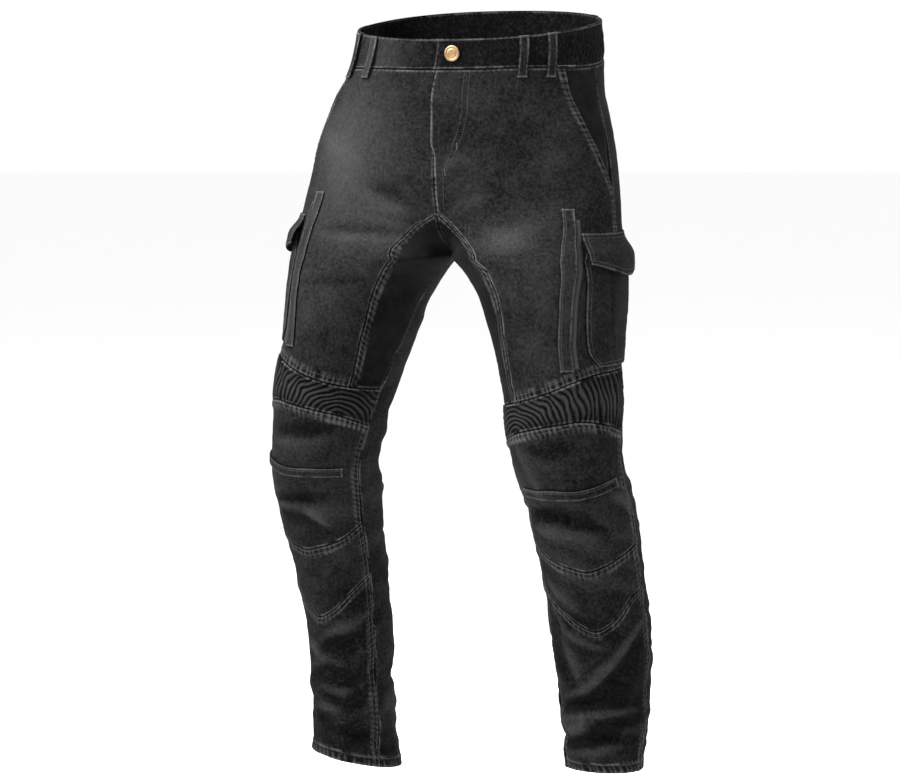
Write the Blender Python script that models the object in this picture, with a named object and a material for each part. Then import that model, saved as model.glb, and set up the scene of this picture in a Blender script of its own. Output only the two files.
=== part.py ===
"""Motorcycle trousers in stretch denim, filled out as if worn, with nothing inside.

Metres, +Z up, the front faces -Y and the wearer's left is +X. The origin is the middle of the waist opening.
The cloth is one surface a side. It runs from the waist seam to the hem, and each piece is a block of it with
its own wall. A point on it has a turn, from 0 at the fly or inseam, over the front, 0.5 at the side seam, to 1
at the centre back or inseam, and a drop, the height below the waist seam at the side.
"""

import math

import bmesh
import bpy
import numpy as np

# Driving sizes
WALL = 0.0020  # stretch denim with its protective layer
BAND_WALL = 0.0028  # the waistband is folded double
TRIM_WALL = 0.0015  # loops, flaps, welts and pockets
SEAM_GAP = 0.0003  # between pieces that a seam joins
LIFT = 0.0007  # between a panel and what lies on it, with the facets allowed for
SIDE_SEAM = 0.5

WAIST_SIDE_TOP = 0.0135
WAIST_SLOPE = 0.0215  # the back is this much higher than the side, and the front this much lower
BAND_HEIGHT = 0.041  # at the fly
BAND_GROWTH = (0.013, 0.004)  # more at the sides, and more at the back
CROTCH_Z = -0.300
HEM_Z = -1.004

SEAM_SIDE_Z = -0.0225  # where drop starts
CROTCH_DROP = SEAM_SIDE_Z - CROTCH_Z
HEM_DROP = SEAM_SIDE_Z - HEM_Z
TURN_OUT = math.radians(14.5)  # each leg faces this far outward

# Sections above the crotch, for half of the body
HIPS = {
    "drop":        (-0.050, 0.000, 0.045, 0.100, 0.155, 0.200, 0.240, 0.2775),
    "half_width":  (0.168, 0.176, 0.189, 0.206, 0.2165, 0.2245, 0.229, 0.231),
    "centre_y":    (0.000, -0.004, -0.014, -0.027, -0.036, -0.046, -0.055, -0.058),
    "front_depth": (0.125, 0.124, 0.117, 0.105, 0.098, 0.092, 0.100, 0.118),
    "back_depth":  (0.122, 0.128, 0.138, 0.153, 0.160, 0.156, 0.140, 0.123),
    "closing":     (0.000, 0.000, 0.000, 0.000, 0.010, 0.110, 0.400, 1.000),
}

# Sections of a leg below the crotch, the centre measured from the middle line
LEGS = {
    "z":          (-0.300, -0.312, -0.335, -0.400, -0.466, -0.555, -0.643, -0.732, -0.821, -0.909, -0.976, -1.010),
    "left_x":     (0.1155, 0.1230, 0.1330, 0.1480, 0.1635, 0.1750, 0.1880, 0.1895, 0.1890, 0.1880, 0.1860, 0.1850),
    "right_x":    (0.1155, 0.1230, 0.1330, 0.1480, 0.1635, 0.1750, 0.1880, 0.1890, 0.1910, 0.1935, 0.1915, 0.1905),
    "centre_y":   (-0.058, -0.060, -0.064, -0.076, -0.089, -0.103, -0.072, -0.040, -0.013, 0.000, 0.001, 0.001),
    "left_side":  (0.1155, 0.1080, 0.0980, 0.0850, 0.0810, 0.0755, 0.0735, 0.0700, 0.0680, 0.0620, 0.0565, 0.0530),
    "left_fore":  (0.1200, 0.1210, 0.1210, 0.1110, 0.0980, 0.0810, 0.0750, 0.0710, 0.0690, 0.0650, 0.0620, 0.0600),
    "right_side": (0.1155, 0.1080, 0.0980, 0.0850, 0.0795, 0.0735, 0.0725, 0.0660, 0.0590, 0.0570, 0.0600, 0.0620),
    "right_fore": (0.1200, 0.1210, 0.1210, 0.1110, 0.0980, 0.0810, 0.0750, 0.0690, 0.0630, 0.0610, 0.0640, 0.0660),
}

# The hips and knees stand a little towards the wearer's right of the waist and hems
SWAY = {"z": (-1.01, -0.82, -0.64, -0.45, -0.30, -0.20, -0.09, -0.03, 0.05),
        "x": (0.0, -0.004, -0.009, -0.009, -0.009, -0.013, -0.013, -0.003, 0.0)}

# Seams that run down, by the turn where they are at each drop
THIGH_SEAM = {
    "drop":  (0.2105, 0.240, 0.2775, 0.310, 0.340, 0.380, 0.420, 0.440, 0.540),
    "left":  (0.001, 0.058, 0.183, 0.193, 0.183, 0.158, 0.135, 0.127, 0.127),
    "right": (0.001, 0.070, 0.160, 0.148, 0.136, 0.124, 0.107, 0.102, 0.102),
}
POCKET_MOUTH = {"drop": (0.000, 0.050, 0.090, 0.123, 0.153, 0.178), "turn": (0.338, 0.369, 0.398, 0.432, 0.469, 0.500)}
ZIP_WELT = {"drop": (0.190, 0.210, 0.250, 0.280, 0.330, 0.366, 0.390, 0.426),
            "turn": (0.293, 0.305, 0.341, 0.366, 0.348, 0.330, 0.316, 0.301)}
INSEAM = {"drop": (0.430, 0.510, 0.580, 0.720, 0.830, 0.990), "turn": (0.000, 0.020, 0.040, 0.038, 0.043, 0.046)}
OUTSEAM = {"drop": (0.420, 0.520, 0.600, 0.990), "turn": (0.500, 0.470, 0.447, 0.450)}

# Seams across the front of the leg, by the height where they run on the left at each turn
ACROSS = {
    "turn":         (0.000, 0.040, 0.110, 0.190, 0.250, 0.310, 0.380, 0.450, 0.500),
    "rib_top":      (-0.494, -0.492, -0.487, -0.477, -0.467, -0.456, -0.447, -0.445, -0.444),
    "rib_bottom":   (-0.546, -0.539, -0.527, -0.517, -0.511, -0.507, -0.512, -0.522, -0.530),
    "knee_pocket":  (-0.606, -0.606, -0.606, -0.606, -0.606, -0.602, -0.593, -0.586, -0.584),
    "knee_middle":  (-0.670, -0.677, -0.696, -0.709, -0.714, -0.706, -0.691, -0.679, -0.672),
    "knee_bottom":  (-0.730, -0.738, -0.761, -0.790, -0.800, -0.786, -0.756, -0.738, -0.730),
}
# How much higher they are on the right, where the cloth is drawn up over the knee
RIGHT_RISE = {"rib_top": 0.013, "rib_bottom": 0.013, "knee_pocket": 0.014, "knee_middle": 0.006, "knee_bottom": -0.008}

# The largest folds. Along runs the way of the tilt, measured from level towards the outside seam.
FOLDS = {
    "side":  ("left", "left", "left", "left", "left", "left", "left", "right", "right", "right", "right", "right",
              "both", "both", "both", "both"),
    "turn":  (0.19, 0.30, 0.22, 0.30, 0.20, 0.30, 0.10, 0.27, 0.20, 0.20, 0.14, 0.30,
              0.74, 0.78, 0.72, 0.76),
    "z":     (-0.645, -0.660, -0.952, -0.935, -1.000, -0.905, -0.860, -0.640, -0.915, -0.940, -0.965, -0.900,
              -0.570, -0.610, -0.945, -0.905),
    "along": (0.060, 0.050, 0.065, 0.050, 0.045, 0.070, 0.050, 0.060, 0.050, 0.050, 0.040, 0.045,
              0.070, 0.060, 0.060, 0.050),
    "width": (0.013, 0.016, 0.013, 0.016, 0.012, 0.014, 0.014, 0.014, 0.014, 0.014, 0.014, 0.014,
              0.015, 0.015, 0.014, 0.014),
    "tilt":  (-12, 10, 3, 8, 4, 50, -62, -14, -20, 10, 12, -5,
              5, -8, 4, -10),
    "rise":  (-0.006, 0.005, -0.007, 0.005, -0.005, 0.005, 0.005, -0.006, -0.005, 0.005, -0.006, 0.005,
              -0.007, 0.005, -0.006, 0.005),
}

RIBS = 31  # pleats of the stretch panel above each knee
RIB_RISE = 0.0032

# Rows of the panels' grids, the same on both sides of a seam that they share
THIGH_TOP = 0.2105
FRONT_ROWS = (8, 9)
LOWER_ROWS = (("rib_top", "rib_bottom", 2), ("rib_bottom", "knee_middle", 7), ("knee_middle", "knee_bottom", 4),
              ("knee_bottom", "hem", 10))
BACK_COLUMNS = 13

# Flat trim. A half width is a turn to each side of the side seam.
WELT_WIDTH = 0.023
WELT_TOP, WELT_BOTTOM = 0.203, 0.420
TRIM_RISE = {"left": 0.0, "right": 0.021}  # the welt and cargo pocket are higher on the right
KNEE_POCKET_HEIGHT = 0.014
CARGO = {"drop": (0.262, 0.300, 0.382, 0.416), "half": (0.106, 0.100, 0.124, 0.131)}
CARGO_BULGE = 0.0075
CARGO_CORNER = 0.016
FLAP = {"drop": (0.238, 0.286, 0.302), "half": (0.139, 0.095, 0.092)}
FLAP_LENGTH = (0.046, 0.060)  # at its corners and at its point
FLAP_BULGE = 0.004
LOOP_WIDTH = 0.014
LOOP_BELOW = 0.013  # how far they reach below the waist seam
LOOP_STANDOFF = 0.0026
LOOPS = {
    "name": ("front_left_1", "front_left_2", "front_right_1", "front_right_2", "back_left", "back_right", "back"),
    "round": (36.0, 51.5, -37.0, -55.0, 128.0, -128.0, 180.0),
}
BUTTON_RADIUS = 0.0105
BUTTON_ROUND = 3.6
OVERLAP = {"left_end": -2.0, "right_end": 16.0}  # degrees round the waist where the band's two ends stop

COLOURS = {
    "denim": (0.022, 0.022, 0.023),
    "stretch": (0.010, 0.010, 0.011),
    "rib": (0.016, 0.016, 0.017),
    "brass": (0.52, 0.38, 0.20),
}


def smooth(x, at, values):
    """A smooth curve through short tables of places and values, read at x and flat past its ends."""
    at, values = np.asarray(at, float), np.asarray(values, float)
    if at[0] > at[-1]:
        at, values = at[::-1], values[::-1]
    x = np.clip(np.asarray(x, float), at[0], at[-1])
    steps, rises = np.diff(at), np.diff(values)
    slopes = rises / steps
    tangents = np.concatenate([slopes[:1], (slopes[1:] * steps[:-1] + slopes[:-1] * steps[1:])
                               / (steps[1:] + steps[:-1]), slopes[-1:]])
    flat = np.concatenate([[False], slopes[1:] * slopes[:-1] <= 0, [False]])
    tangents[flat] = 0.0
    i = np.clip(np.searchsorted(at, x, side="right") - 1, 0, len(steps) - 1)
    s = (x - at[i]) / steps[i]
    return (values[i] * (1 + 2 * s) * (1 - s) ** 2 + tangents[i] * steps[i] * s * (1 - s) ** 2
            + values[i + 1] * s * s * (3 - 2 * s) + tangents[i + 1] * steps[i] * s * s * (s - 1))


def ease(x, start, end):
    """0 before start, 1 after end and smooth between."""
    s = np.clip((np.asarray(x, float) - start) / (end - start), 0, 1)
    return s * s * (3 - 2 * s)


def signed_power(x, power):
    return np.sign(x) * np.abs(x) ** power


def girth(drop):
    """Roughly how much cloth one unit of turn is."""
    z = SEAM_SIDE_Z - np.asarray(drop, float)
    return smooth(z, (-1.0, -0.80, -0.64, -0.50, -0.35, -0.25, -0.02), (0.37, 0.42, 0.46, 0.54, 0.70, 0.62, 0.50))


def band_height(round_angle):
    sides, back = BAND_GROWTH
    return BAND_HEIGHT + sides * np.sin(round_angle) ** 4 + back * (1 - np.cos(round_angle)) / 2


def waist_z(round_angle, up):
    """Height of the waistband at an angle round the waist, up from 0 at its lower seam to 1 at its top."""
    return WAIST_SIDE_TOP - WAIST_SLOPE * np.cos(round_angle) - band_height(round_angle) * (1 - up)


def body_section(turn, drop):
    """The half section of the hips at a drop, open at the centre front and back."""
    a = smooth(drop, HIPS["drop"], HIPS["half_width"])
    cy = smooth(drop, HIPS["drop"], HIPS["centre_y"])
    front = smooth(drop, HIPS["drop"], HIPS["front_depth"])
    back = smooth(drop, HIPS["drop"], HIPS["back_depth"])
    closing = smooth(drop, HIPS["drop"], HIPS["closing"])
    angle = math.pi * turn
    depth = np.where(np.cos(angle) > 0, front, back)
    open_x = a * signed_power(np.sin(angle), 0.88)
    open_y = cy - depth * signed_power(np.cos(angle), 0.88)
    oval = 2 * math.pi * turn
    closed_x = a / 2 * (1 - np.cos(oval))
    closed_y = cy - np.where(turn < 0.5, 0.120, 0.120) * np.sin(oval)
    x = open_x + (closed_x - open_x) * closing
    y = open_y + (closed_y - open_y) * closing
    share = np.clip(drop / CROTCH_DROP, None, 1)
    seam_z = waist_z(angle, 0.0)
    z = seam_z + (CROTCH_Z - seam_z) * share
    return x, y, z


def leg_section(side, turn, drop):
    """The closed section of a leg at a drop."""
    z = SEAM_SIDE_Z - drop
    cx, cy = smooth(z, LEGS["z"], LEGS[side + "_x"]), smooth(z, LEGS["z"], LEGS["centre_y"])
    across, fore = smooth(z, LEGS["z"], LEGS[side + "_side"]), smooth(z, LEGS["z"], LEGS[side + "_fore"])
    out = TURN_OUT * ease(-z, 0.30, 0.52)
    angle = 2 * math.pi * turn
    inner, forward = across * np.cos(angle), fore * np.sin(angle)
    x = cx - inner * np.cos(out) + forward * np.sin(out)
    y = cy - inner * np.sin(out) - forward * np.cos(out)
    # The hem hangs lower at the heel than over the instep
    low = ease(-z, 0.93, 1.0)
    z = z + low * (0.010 if side == "right" else 0.003) * np.sin(angle)
    # The right leg is longer, most of all at its inseam
    if side == "right":
        z = z - ease(-z, 0.86, 1.0) * (0.017 + 0.009 * np.cos(angle))
    return x, y, z


def base_surface(side, turn, drop):
    """The cloth's outer face without folds, for one half, as an array of points."""
    turn, drop = np.broadcast_arrays(np.asarray(turn, float), np.asarray(drop, float))
    hip = np.stack(body_section(turn, np.minimum(drop, CROTCH_DROP)), -1)
    leg = np.stack(leg_section(side, turn, np.maximum(drop, CROTCH_DROP)), -1)
    points = np.where((drop < CROTCH_DROP)[..., None], hip, leg)
    if side == "right":
        points = points * (-1, 1, 1)
    points[..., 0] += smooth(points[..., 2], SWAY["z"], SWAY["x"])
    return points


def normals(side, turn, drop, step=0.004):
    """Unit normals that point out of the cloth."""
    turn, drop = np.broadcast_arrays(np.asarray(turn, float), np.asarray(drop, float))
    around = base_surface(side, turn + step, drop) - base_surface(side, turn - step, drop)
    down = base_surface(side, turn, drop + step) - base_surface(side, turn, drop - step)
    n = np.cross(down, around) * (-1 if side == "right" else 1)
    return n / np.linalg.norm(n, axis=-1, keepdims=True)


def fold_height(side, turn, drop):
    """How far the largest folds raise the cloth."""
    z = SEAM_SIDE_Z - drop
    total = np.zeros(np.broadcast(turn, drop).shape)
    for row in zip(*(FOLDS[k] for k in ("side", "turn", "z", "along", "width", "tilt", "rise"))):
        which, at, height, along, width, tilt, rise = row
        if which not in ("both", side):
            continue
        away = turn - at
        away = np.where(drop > CROTCH_DROP, away - np.round(away), away) * girth(drop)
        up = z - height
        c, s = math.cos(math.radians(tilt)), math.sin(math.radians(tilt))
        total += rise * np.exp(-((away * c + up * s) / along) ** 2 - ((up * c - away * s) / width) ** 2)
    return total


def fly_raise(side, turn, drop):
    """The left front laps over the right at the fly, so one stands out and the other lies under it."""
    near = (1 - ease(turn, 0.03, 0.09)) * (1 - ease(drop, 0.134, 0.165))
    return near * (0.0012 if side == "left" else -0.0012)


def surface(side, turn, drop, out=0.0):
    """Points on the cloth's outer face, moved out by out along its normals."""
    n = normals(side, turn, drop)
    # Folds don't part the two halves along the middle line
    near = (1 - ease(np.minimum(turn, 1 - turn), 0.0, 0.04)) * (1 - ease(drop, CROTCH_DROP, CROTCH_DROP + 0.015))
    n[..., 0] *= 1 - near
    lift = fold_height(side, turn, drop) + fly_raise(side, turn, drop) + out
    return base_surface(side, turn, drop) + n * lift[..., None]


def waist_surface(angle, up, out=0.0):
    """Points on the waistband's outer face, by the angle round from the front. up is below 0 on the panels."""
    angle, up = np.broadcast_arrays(np.asarray(angle, float), np.asarray(up, float))
    seam = waist_z(angle, 0.0)
    drop = np.where(up < 0, (seam - waist_z(angle, up)) * CROTCH_DROP / (seam - CROTCH_Z), -BAND_HEIGHT * up)
    a, cy = smooth(drop, HIPS["drop"], HIPS["half_width"]), smooth(drop, HIPS["drop"], HIPS["centre_y"])
    front = smooth(drop, HIPS["drop"], HIPS["front_depth"])
    back = smooth(drop, HIPS["drop"], HIPS["back_depth"])

    def ring(theta):
        depth = np.where(np.cos(theta) > 0, front, back)
        return np.stack([a * signed_power(np.sin(theta), 0.88),
                         cy - depth * signed_power(np.cos(theta), 0.88), waist_z(theta, up)], -1)

    n = np.cross(ring(angle + 0.02) - ring(angle - 0.02), (0.0, 0.0, 1.0))
    n = n / np.linalg.norm(n, axis=-1, keepdims=True)
    points = ring(angle) + n * np.asarray(out, float)[..., None]
    points[..., 0] += smooth(points[..., 2], SWAY["z"], SWAY["x"])
    return points


def material(name, roughness=0.9, metallic=0.0):
    made = bpy.data.materials.get(name) or bpy.data.materials.new(name)
    made.use_nodes = True
    shader = made.node_tree.nodes["Principled BSDF"]
    shader.inputs["Base Color"].default_value = (*COLOURS[name], 1)
    shader.inputs["Roughness"].default_value = roughness
    shader.inputs["Metallic"].default_value = metallic
    return made


def wall(name, outer, inner, finish):
    """A solid between two grids of points with the same rows and columns. Both are split along the same diagonals."""
    rows, columns = outer.shape[:2]
    mesh = bmesh.new()
    skins = [[[mesh.verts.new(tuple(p)) for p in row] for row in grid] for grid in (outer, inner)]
    for r in range(rows - 1):
        for c in range(columns - 1):
            one, other = ((r, c), (r + 1, c + 1)), ((r + 1, c), (r, c + 1))
            a, b = min(one, other, key=lambda ends: np.linalg.norm(outer[ends[0]] - outer[ends[1]]))
            for corner in other if a == (r, c) else one:
                for skin in skins:
                    mesh.faces.new([skin[i][j] for i, j in (a, corner, b)])
    rim = [(0, c) for c in range(columns)] + [(r, columns - 1) for r in range(1, rows)]
    rim += [(rows - 1, c) for c in range(columns - 2, -1, -1)] + [(r, 0) for r in range(rows - 2, 0, -1)]
    lean = np.array((0.37, 0.11, 1.0))
    for (i, j), (k, m) in zip(rim, rim[1:] + rim[:1]):
        a, b, c, d = skins[0][i][j], skins[0][k][m], skins[1][k][m], skins[1][i][j]
        if outer[i, j] @ lean < outer[k, m] @ lean:
            a, b, c, d = b, a, d, c
        mesh.faces.new((a, b, c))
        mesh.faces.new((a, c, d))
    return add(name, mesh, finish)


def add(name, mesh, finish):
    """Makes one object of a closed mesh, with its faces turned out."""
    bmesh.ops.recalc_face_normals(mesh, faces=mesh.faces[:])
    if mesh.calc_volume(signed=True) < 0:
        bmesh.ops.reverse_faces(mesh, faces=mesh.faces[:])
    data = bpy.data.meshes.new(name)
    mesh.to_mesh(data)
    mesh.free()
    data.materials.append(finish)
    data.shade_smooth()
    data.set_sharp_from_angle(angle=math.radians(40))
    made = bpy.data.objects.new(name, data)
    GARMENT.objects.link(made)
    return made


def level(name, turn, side):
    """Drop of a seam across the leg."""
    return SEAM_SIDE_Z - smooth(turn, ACROSS["turn"], ACROSS[name]) - (RIGHT_RISE[name] if side == "right" else 0.0)


def block(left, right, top, bottom, columns):
    """A grid between two edges, each a list of (turn, drop) a row, and two seams that give a drop for each turn."""
    left, right = np.asarray(left), np.asarray(right)
    a, b = np.meshgrid(np.linspace(0, 1, columns + 1), np.linspace(0, 1, len(left)))
    turn, drop = (left[:, None, k] * (1 - a) + right[:, None, k] * a for k in (0, 1))
    # The first and last rows follow their seams, and those between go over from one to the other
    drop = drop + (top(turn[:1]) - drop[:1]) * (1 - b) + (bottom(turn[-1:]) - drop[-1:]) * b
    return set_back(turn, drop)


def set_back(turn, drop):
    """The same grid with its edges half a seam's gap back from the seams, measured square to them."""
    half = SEAM_GAP / 2
    turn, drop = turn.copy(), drop.copy()
    for column, sign in ((0, 1), (-1, -1)):
        metres = girth(drop[:, column])
        run_turn, run_drop = np.gradient(turn[:, column]) * metres, np.gradient(drop[:, column])
        length = np.hypot(run_turn, run_drop)
        turn[:, column] += sign * half * run_drop / length / metres
        drop[1:-1, column] -= sign * half * (run_turn / length)[1:-1]
    drop[0] += half
    drop[-1] -= half
    return turn, drop


def keep_apart(side, points, turn, drop):
    """Near the middle line each half stays on its own side of it, but for the lap of the fly."""
    sway = smooth(points[..., 2], SWAY["z"], SWAY["x"])
    sign = 1 if side == "left" else -1
    beside = (points[..., 0] - sway) * sign
    lapped = (drop < 0.128) & (turn < 0.05)
    fixed = sway + sign * np.maximum(beside, SEAM_GAP / 2)
    points = points.copy()
    points[..., 0] = np.where(lapped, points[..., 0], fixed)
    return points


def panel(name, side, grid, finish, relief=0.0, out=None):
    """One cut piece of the garment's cloth, on a grid of turns and drops. relief raises its outer face only."""
    turn, drop = grid
    shift = out(turn, drop) if out else np.zeros(turn.shape)
    raised = shift + relief
    outer = keep_apart(side, surface(side, turn, drop, raised), turn, drop)
    inner = keep_apart(side, surface(side, turn, drop, shift - WALL), turn, drop)
    return wall(f"{name}_{side}", outer, inner, finish)


def constant(value):
    return lambda x: np.full(np.shape(x), float(value))


def thigh_seam(side, drop):
    return smooth(drop, THIGH_SEAM["drop"], THIGH_SEAM[side])


def pocket_mouth(drop):
    return smooth(drop, POCKET_MOUTH["drop"], POCKET_MOUTH["turn"])


def fly_lap(side, drop):
    """The left front reaches past the middle line at the fly."""
    return 0.0055 * (1 - ease(drop, 0.104, 0.130)) if side == "left" else 0.0 * drop


def meets(name, side, down):
    """The drop where a seam across the leg meets one that runs down, whose turn is down(drop)."""
    if name == "hem":
        return HEM_DROP
    drop = 0.5
    for _ in range(20):
        drop = float(level(name, down(drop), side))
    return drop


def row_drops(side, down, first):
    """Drops of all the rows along a seam that runs down, in one list for each piece from the top."""
    rib = meets("rib_top", side, down)
    lists = [np.linspace(0, first, FRONT_ROWS[0] + 1), np.linspace(first, rib, FRONT_ROWS[1] + 1)]
    if down is inseam_turn:
        # One row is at the crotch, where the two legs part
        lists[1] = np.concatenate([np.linspace(first, CROTCH_DROP, 4),
                                   np.linspace(CROTCH_DROP, rib, FRONT_ROWS[1] - 2)[1:]])
    for top, bottom, rows in LOWER_ROWS:
        lists.append(np.linspace(meets(top, side, down), meets(bottom, side, down), rows + 1))
    return lists


def inseam_turn(drop):
    return smooth(drop, INSEAM["drop"], INSEAM["turn"])


def outseam_turn(drop):
    return smooth(drop, OUTSEAM["drop"], OUTSEAM["turn"])


def along(turn, drops):
    """An edge at these drops. turn is a number, or a turn for each drop."""
    return np.stack([turn + 0 * drops, drops], -1)


def joined(lists):
    return np.concatenate([lists[0]] + [each[1:] for each in lists[1:]])


def make_panels(side):
    """The cut pieces of one half."""
    denim, stretch, rib = material("denim"), material("stretch"), material("rib")
    seams = {name: (lambda t, n=name: level(n, t, side)) for name in ACROSS if name != "turn"}
    seams["hem"] = constant(HEM_DROP)
    outseam = row_drops(side, outseam_turn, 0.190)
    inseam = row_drops(side, inseam_turn, THIGH_TOP)
    thigh = row_drops(side, lambda d: thigh_seam(side, d), THIGH_TOP)

    front = joined(thigh[:2])
    edge = along(np.where(front > THIGH_TOP - 1e-6, thigh_seam(side, front), 0.0) - fly_lap(side, front), front)
    mouth = joined(outseam[:2])
    panel("front", side, block(edge, along(pocket_mouth(mouth), mouth), constant(0.0), seams["rib_top"], 13), denim)

    pocket = np.linspace(0, 0.178, 7)
    panel("pocket_facing", side, block(along(pocket_mouth(pocket) - 0.040, pocket), along(SIDE_SEAM, pocket),
                                       constant(0.0), constant(0.178), 4), stretch,
          out=lambda t, d: -(WALL + LIFT + 0.0016) * (1 - ease(t - pocket_mouth(d), 0.005, 0.12)) - 0.0002)

    panel("inner_thigh", side, block(along(inseam_turn(inseam[1]), inseam[1]), along(thigh_seam(side, thigh[1]), thigh[1]),
                                     constant(THIGH_TOP), seams["rib_top"], 4), stretch)

    for name, (top, bottom, _), left, right in zip(("rib", "knee_upper", "knee_lower", "shin"), LOWER_ROWS,
                                                   inseam[2:], outseam[2:]):
        columns, finish, relief = 11, denim, 0.0
        if name == "rib":
            columns, finish = 2 * RIBS, rib
            relief = RIB_RISE * (np.arange(columns + 1) % 2)
        grid = block(along(inseam_turn(left), left), along(outseam_turn(right), right), seams[top], seams[bottom],
                     columns)
        panel(name, side, grid, finish, relief=relief)

    left, right = joined(outseam), joined(inseam)
    grid = block(along(outseam_turn(left), left), along(1 + inseam_turn(right), right), constant(0.0),
                 constant(HEM_DROP), BACK_COLUMNS)
    panel("back", side, grid, denim)


def overlay(name, side, turn, drop, standoff, finish):
    """A piece that lies on the panels: their points, moved out."""
    inner = surface(side, turn, drop, LIFT + standoff)
    outer = surface(side, turn, drop, LIFT + standoff + TRIM_WALL)
    return wall(f"{name}_{side}", outer, inner, finish)


def make_trim(side):
    """The pieces that are sewn on top of the panels of one half."""
    denim = material("denim")
    rise = TRIM_RISE[side]
    a, b = np.meshgrid(np.linspace(-0.5, 0.5, 3), np.linspace(0, 1, 15))
    drop = WELT_TOP + (WELT_BOTTOM - WELT_TOP) * b - rise
    turn = smooth(drop, ZIP_WELT["drop"], ZIP_WELT["turn"]) + a * WELT_WIDTH / girth(drop)
    overlay("zip_welt", side, turn, drop, 0.0002 + 0.0 * drop, denim)

    a, b = np.meshgrid(np.linspace(0.09, 0.41, 9), np.linspace(-0.5, 0.5, 2))
    overlay("knee_pocket_edge", side, a, level("knee_pocket", a, side) + b * KNEE_POCKET_HEIGHT, 0.0005 + 0.0 * a, denim)

    a, b = np.meshgrid(np.linspace(-1, 1, 9), np.linspace(0, 1, 9))
    drop = CARGO["drop"][0] + (CARGO["drop"][-1] - CARGO["drop"][0]) * b - rise
    corner = np.clip((b - 0.87) / 0.13, 0, 1) ** 1.5 * CARGO_CORNER / girth(drop)
    turn = SIDE_SEAM + a * (smooth(drop, CARGO["drop"], CARGO["half"]) - corner)
    bulge = 0.0001 + CARGO_BULGE * (1 - np.abs(a) ** 3) * np.sin(math.pi * b) ** 0.6
    overlay("cargo_pocket", side, turn, drop, bulge, denim)

    a, b = np.meshgrid(np.linspace(-1, 1, 9), np.linspace(0, 1, 6))
    corner, point = FLAP_LENGTH
    drop = FLAP["drop"][0] + b * (corner + (point - corner) * np.clip(1.2 * (1 - np.abs(a)), 0, 1)) - rise
    turn = SIDE_SEAM + a * smooth(drop, FLAP["drop"], FLAP["half"])
    clear = 0.0004 + (CARGO_BULGE + TRIM_WALL + 0.0012) * ease(drop + rise, CARGO["drop"][0] - 0.020, CARGO["drop"][0] + 0.010)
    overlay("cargo_flap", side, turn, drop, clear + FLAP_BULGE * b * (1 - a * a), denim)


def make_waistband():
    """One folded band round the waist. Its left end laps over its right end at the fly."""
    start, end = math.radians(OVERLAP["left_end"]), math.radians(360 + OVERLAP["right_end"])
    angle, up = np.meshgrid(np.linspace(start, end, 57), np.linspace(0, 1, 3))
    degrees = np.degrees(angle)
    lap = 0.0019 * (1 - ease(degrees, 14, 34)) - 0.0019 * ease(degrees, 326, 346)
    up = up * (1 - SEAM_GAP / BAND_HEIGHT) + SEAM_GAP / BAND_HEIGHT
    outer = waist_surface(angle, up, lap)
    inner = waist_surface(angle, up, lap - BAND_WALL)
    return wall("waistband", outer[:, ::-1], inner[:, ::-1], material("denim"))


def make_loop(name, degrees):
    """A belt loop, from the band's top edge to just below its lower seam, clear of it between for the belt."""
    b = np.linspace(0, 1, 9)
    half = 0.05
    for _ in range(8):
        ends = waist_surface(math.radians(degrees) + np.array((-half, half)), 0.5)
        half *= LOOP_WIDTH / np.linalg.norm(ends[1] - ends[0])
    angle, down = np.meshgrid(math.radians(degrees) + np.linspace(-half, half, 3), b)
    up = 1 - down * (1 + LOOP_BELOW / band_height(angle))
    lap = 0.0019 * (1 - ease(abs(degrees), 14, 34)) * (degrees > 0)
    standoff = LIFT + 0.0003 + lap + LOOP_STANDOFF * np.clip(np.sin(math.pi * down), 0, 1) ** 0.35
    outer = waist_surface(angle, up, standoff + TRIM_WALL)
    inner = waist_surface(angle, up, standoff)
    return wall(f"belt_loop_{name}", outer, inner, material("denim"))


def make_button():
    """The shank button: a domed brass head on its neck, standing on the band's left end."""
    foot = waist_surface(np.array(math.radians(BUTTON_ROUND)), np.array(0.52), np.array(0.0019))
    head = waist_surface(np.array(math.radians(BUTTON_ROUND)), np.array(0.52), np.array(0.0119))
    out = (head - foot) / np.linalg.norm(head - foot)
    profile = ((0.0000, 0.0003), (0.0040, 0.0003), (0.0040, 0.0014), (BUTTON_RADIUS, 0.0016),
               (BUTTON_RADIUS, 0.0028), (0.0076, 0.0034), (0.0060, 0.0031), (0.0030, 0.0036), (0.0000, 0.0038))
    steps = 24
    mesh = bmesh.new()
    side = np.cross(out, (0.0, 0.0, 1.0))
    side /= np.linalg.norm(side)
    up = np.cross(side, out)
    rings = []
    for radius, height in profile:
        if radius == 0:
            rings.append([mesh.verts.new(tuple(foot + out * height))])
            continue
        rings.append([mesh.verts.new(tuple(foot + out * height + radius * (side * math.cos(k) + up * math.sin(k))))
                      for k in np.arange(steps) * 2 * math.pi / steps])
    for low, high in zip(rings, rings[1:]):
        for k in range(steps):
            n = (k + 1) % steps
            corners = [low[k % len(low)], low[n % len(low)], high[n % len(high)], high[k % len(high)]]
            mesh.faces.new(list(dict.fromkeys(corners)))
    return add("waist_button", mesh, material("brass", roughness=0.35, metallic=1.0))


def make_trousers():
    for side in ("left", "right"):
        make_panels(side)
        make_trim(side)
    make_waistband()
    for name, degrees in zip(LOOPS["name"], LOOPS["round"]):
        make_loop(name, degrees)
    make_button()


for old in list(bpy.data.objects):
    bpy.data.objects.remove(old)
GARMENT = bpy.data.collections.new("motorcycle_trousers")
bpy.context.scene.collection.children.link(GARMENT)
make_trousers()
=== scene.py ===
"""Looks of motorcycle trousers in black stretch denim, filled out as if worn.

Metres, +Z up, the front faces -Y and the wearer's left is +X. A point on the cloth has a turn, from 0 at the
fly or inseam, over the front, 0.5 at the side seam, to 1 at the centre back or inseam, and a drop, the height
below the waist seam at the side. Each fine cloth piece takes the place of the solid with the same seams.
"""

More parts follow.
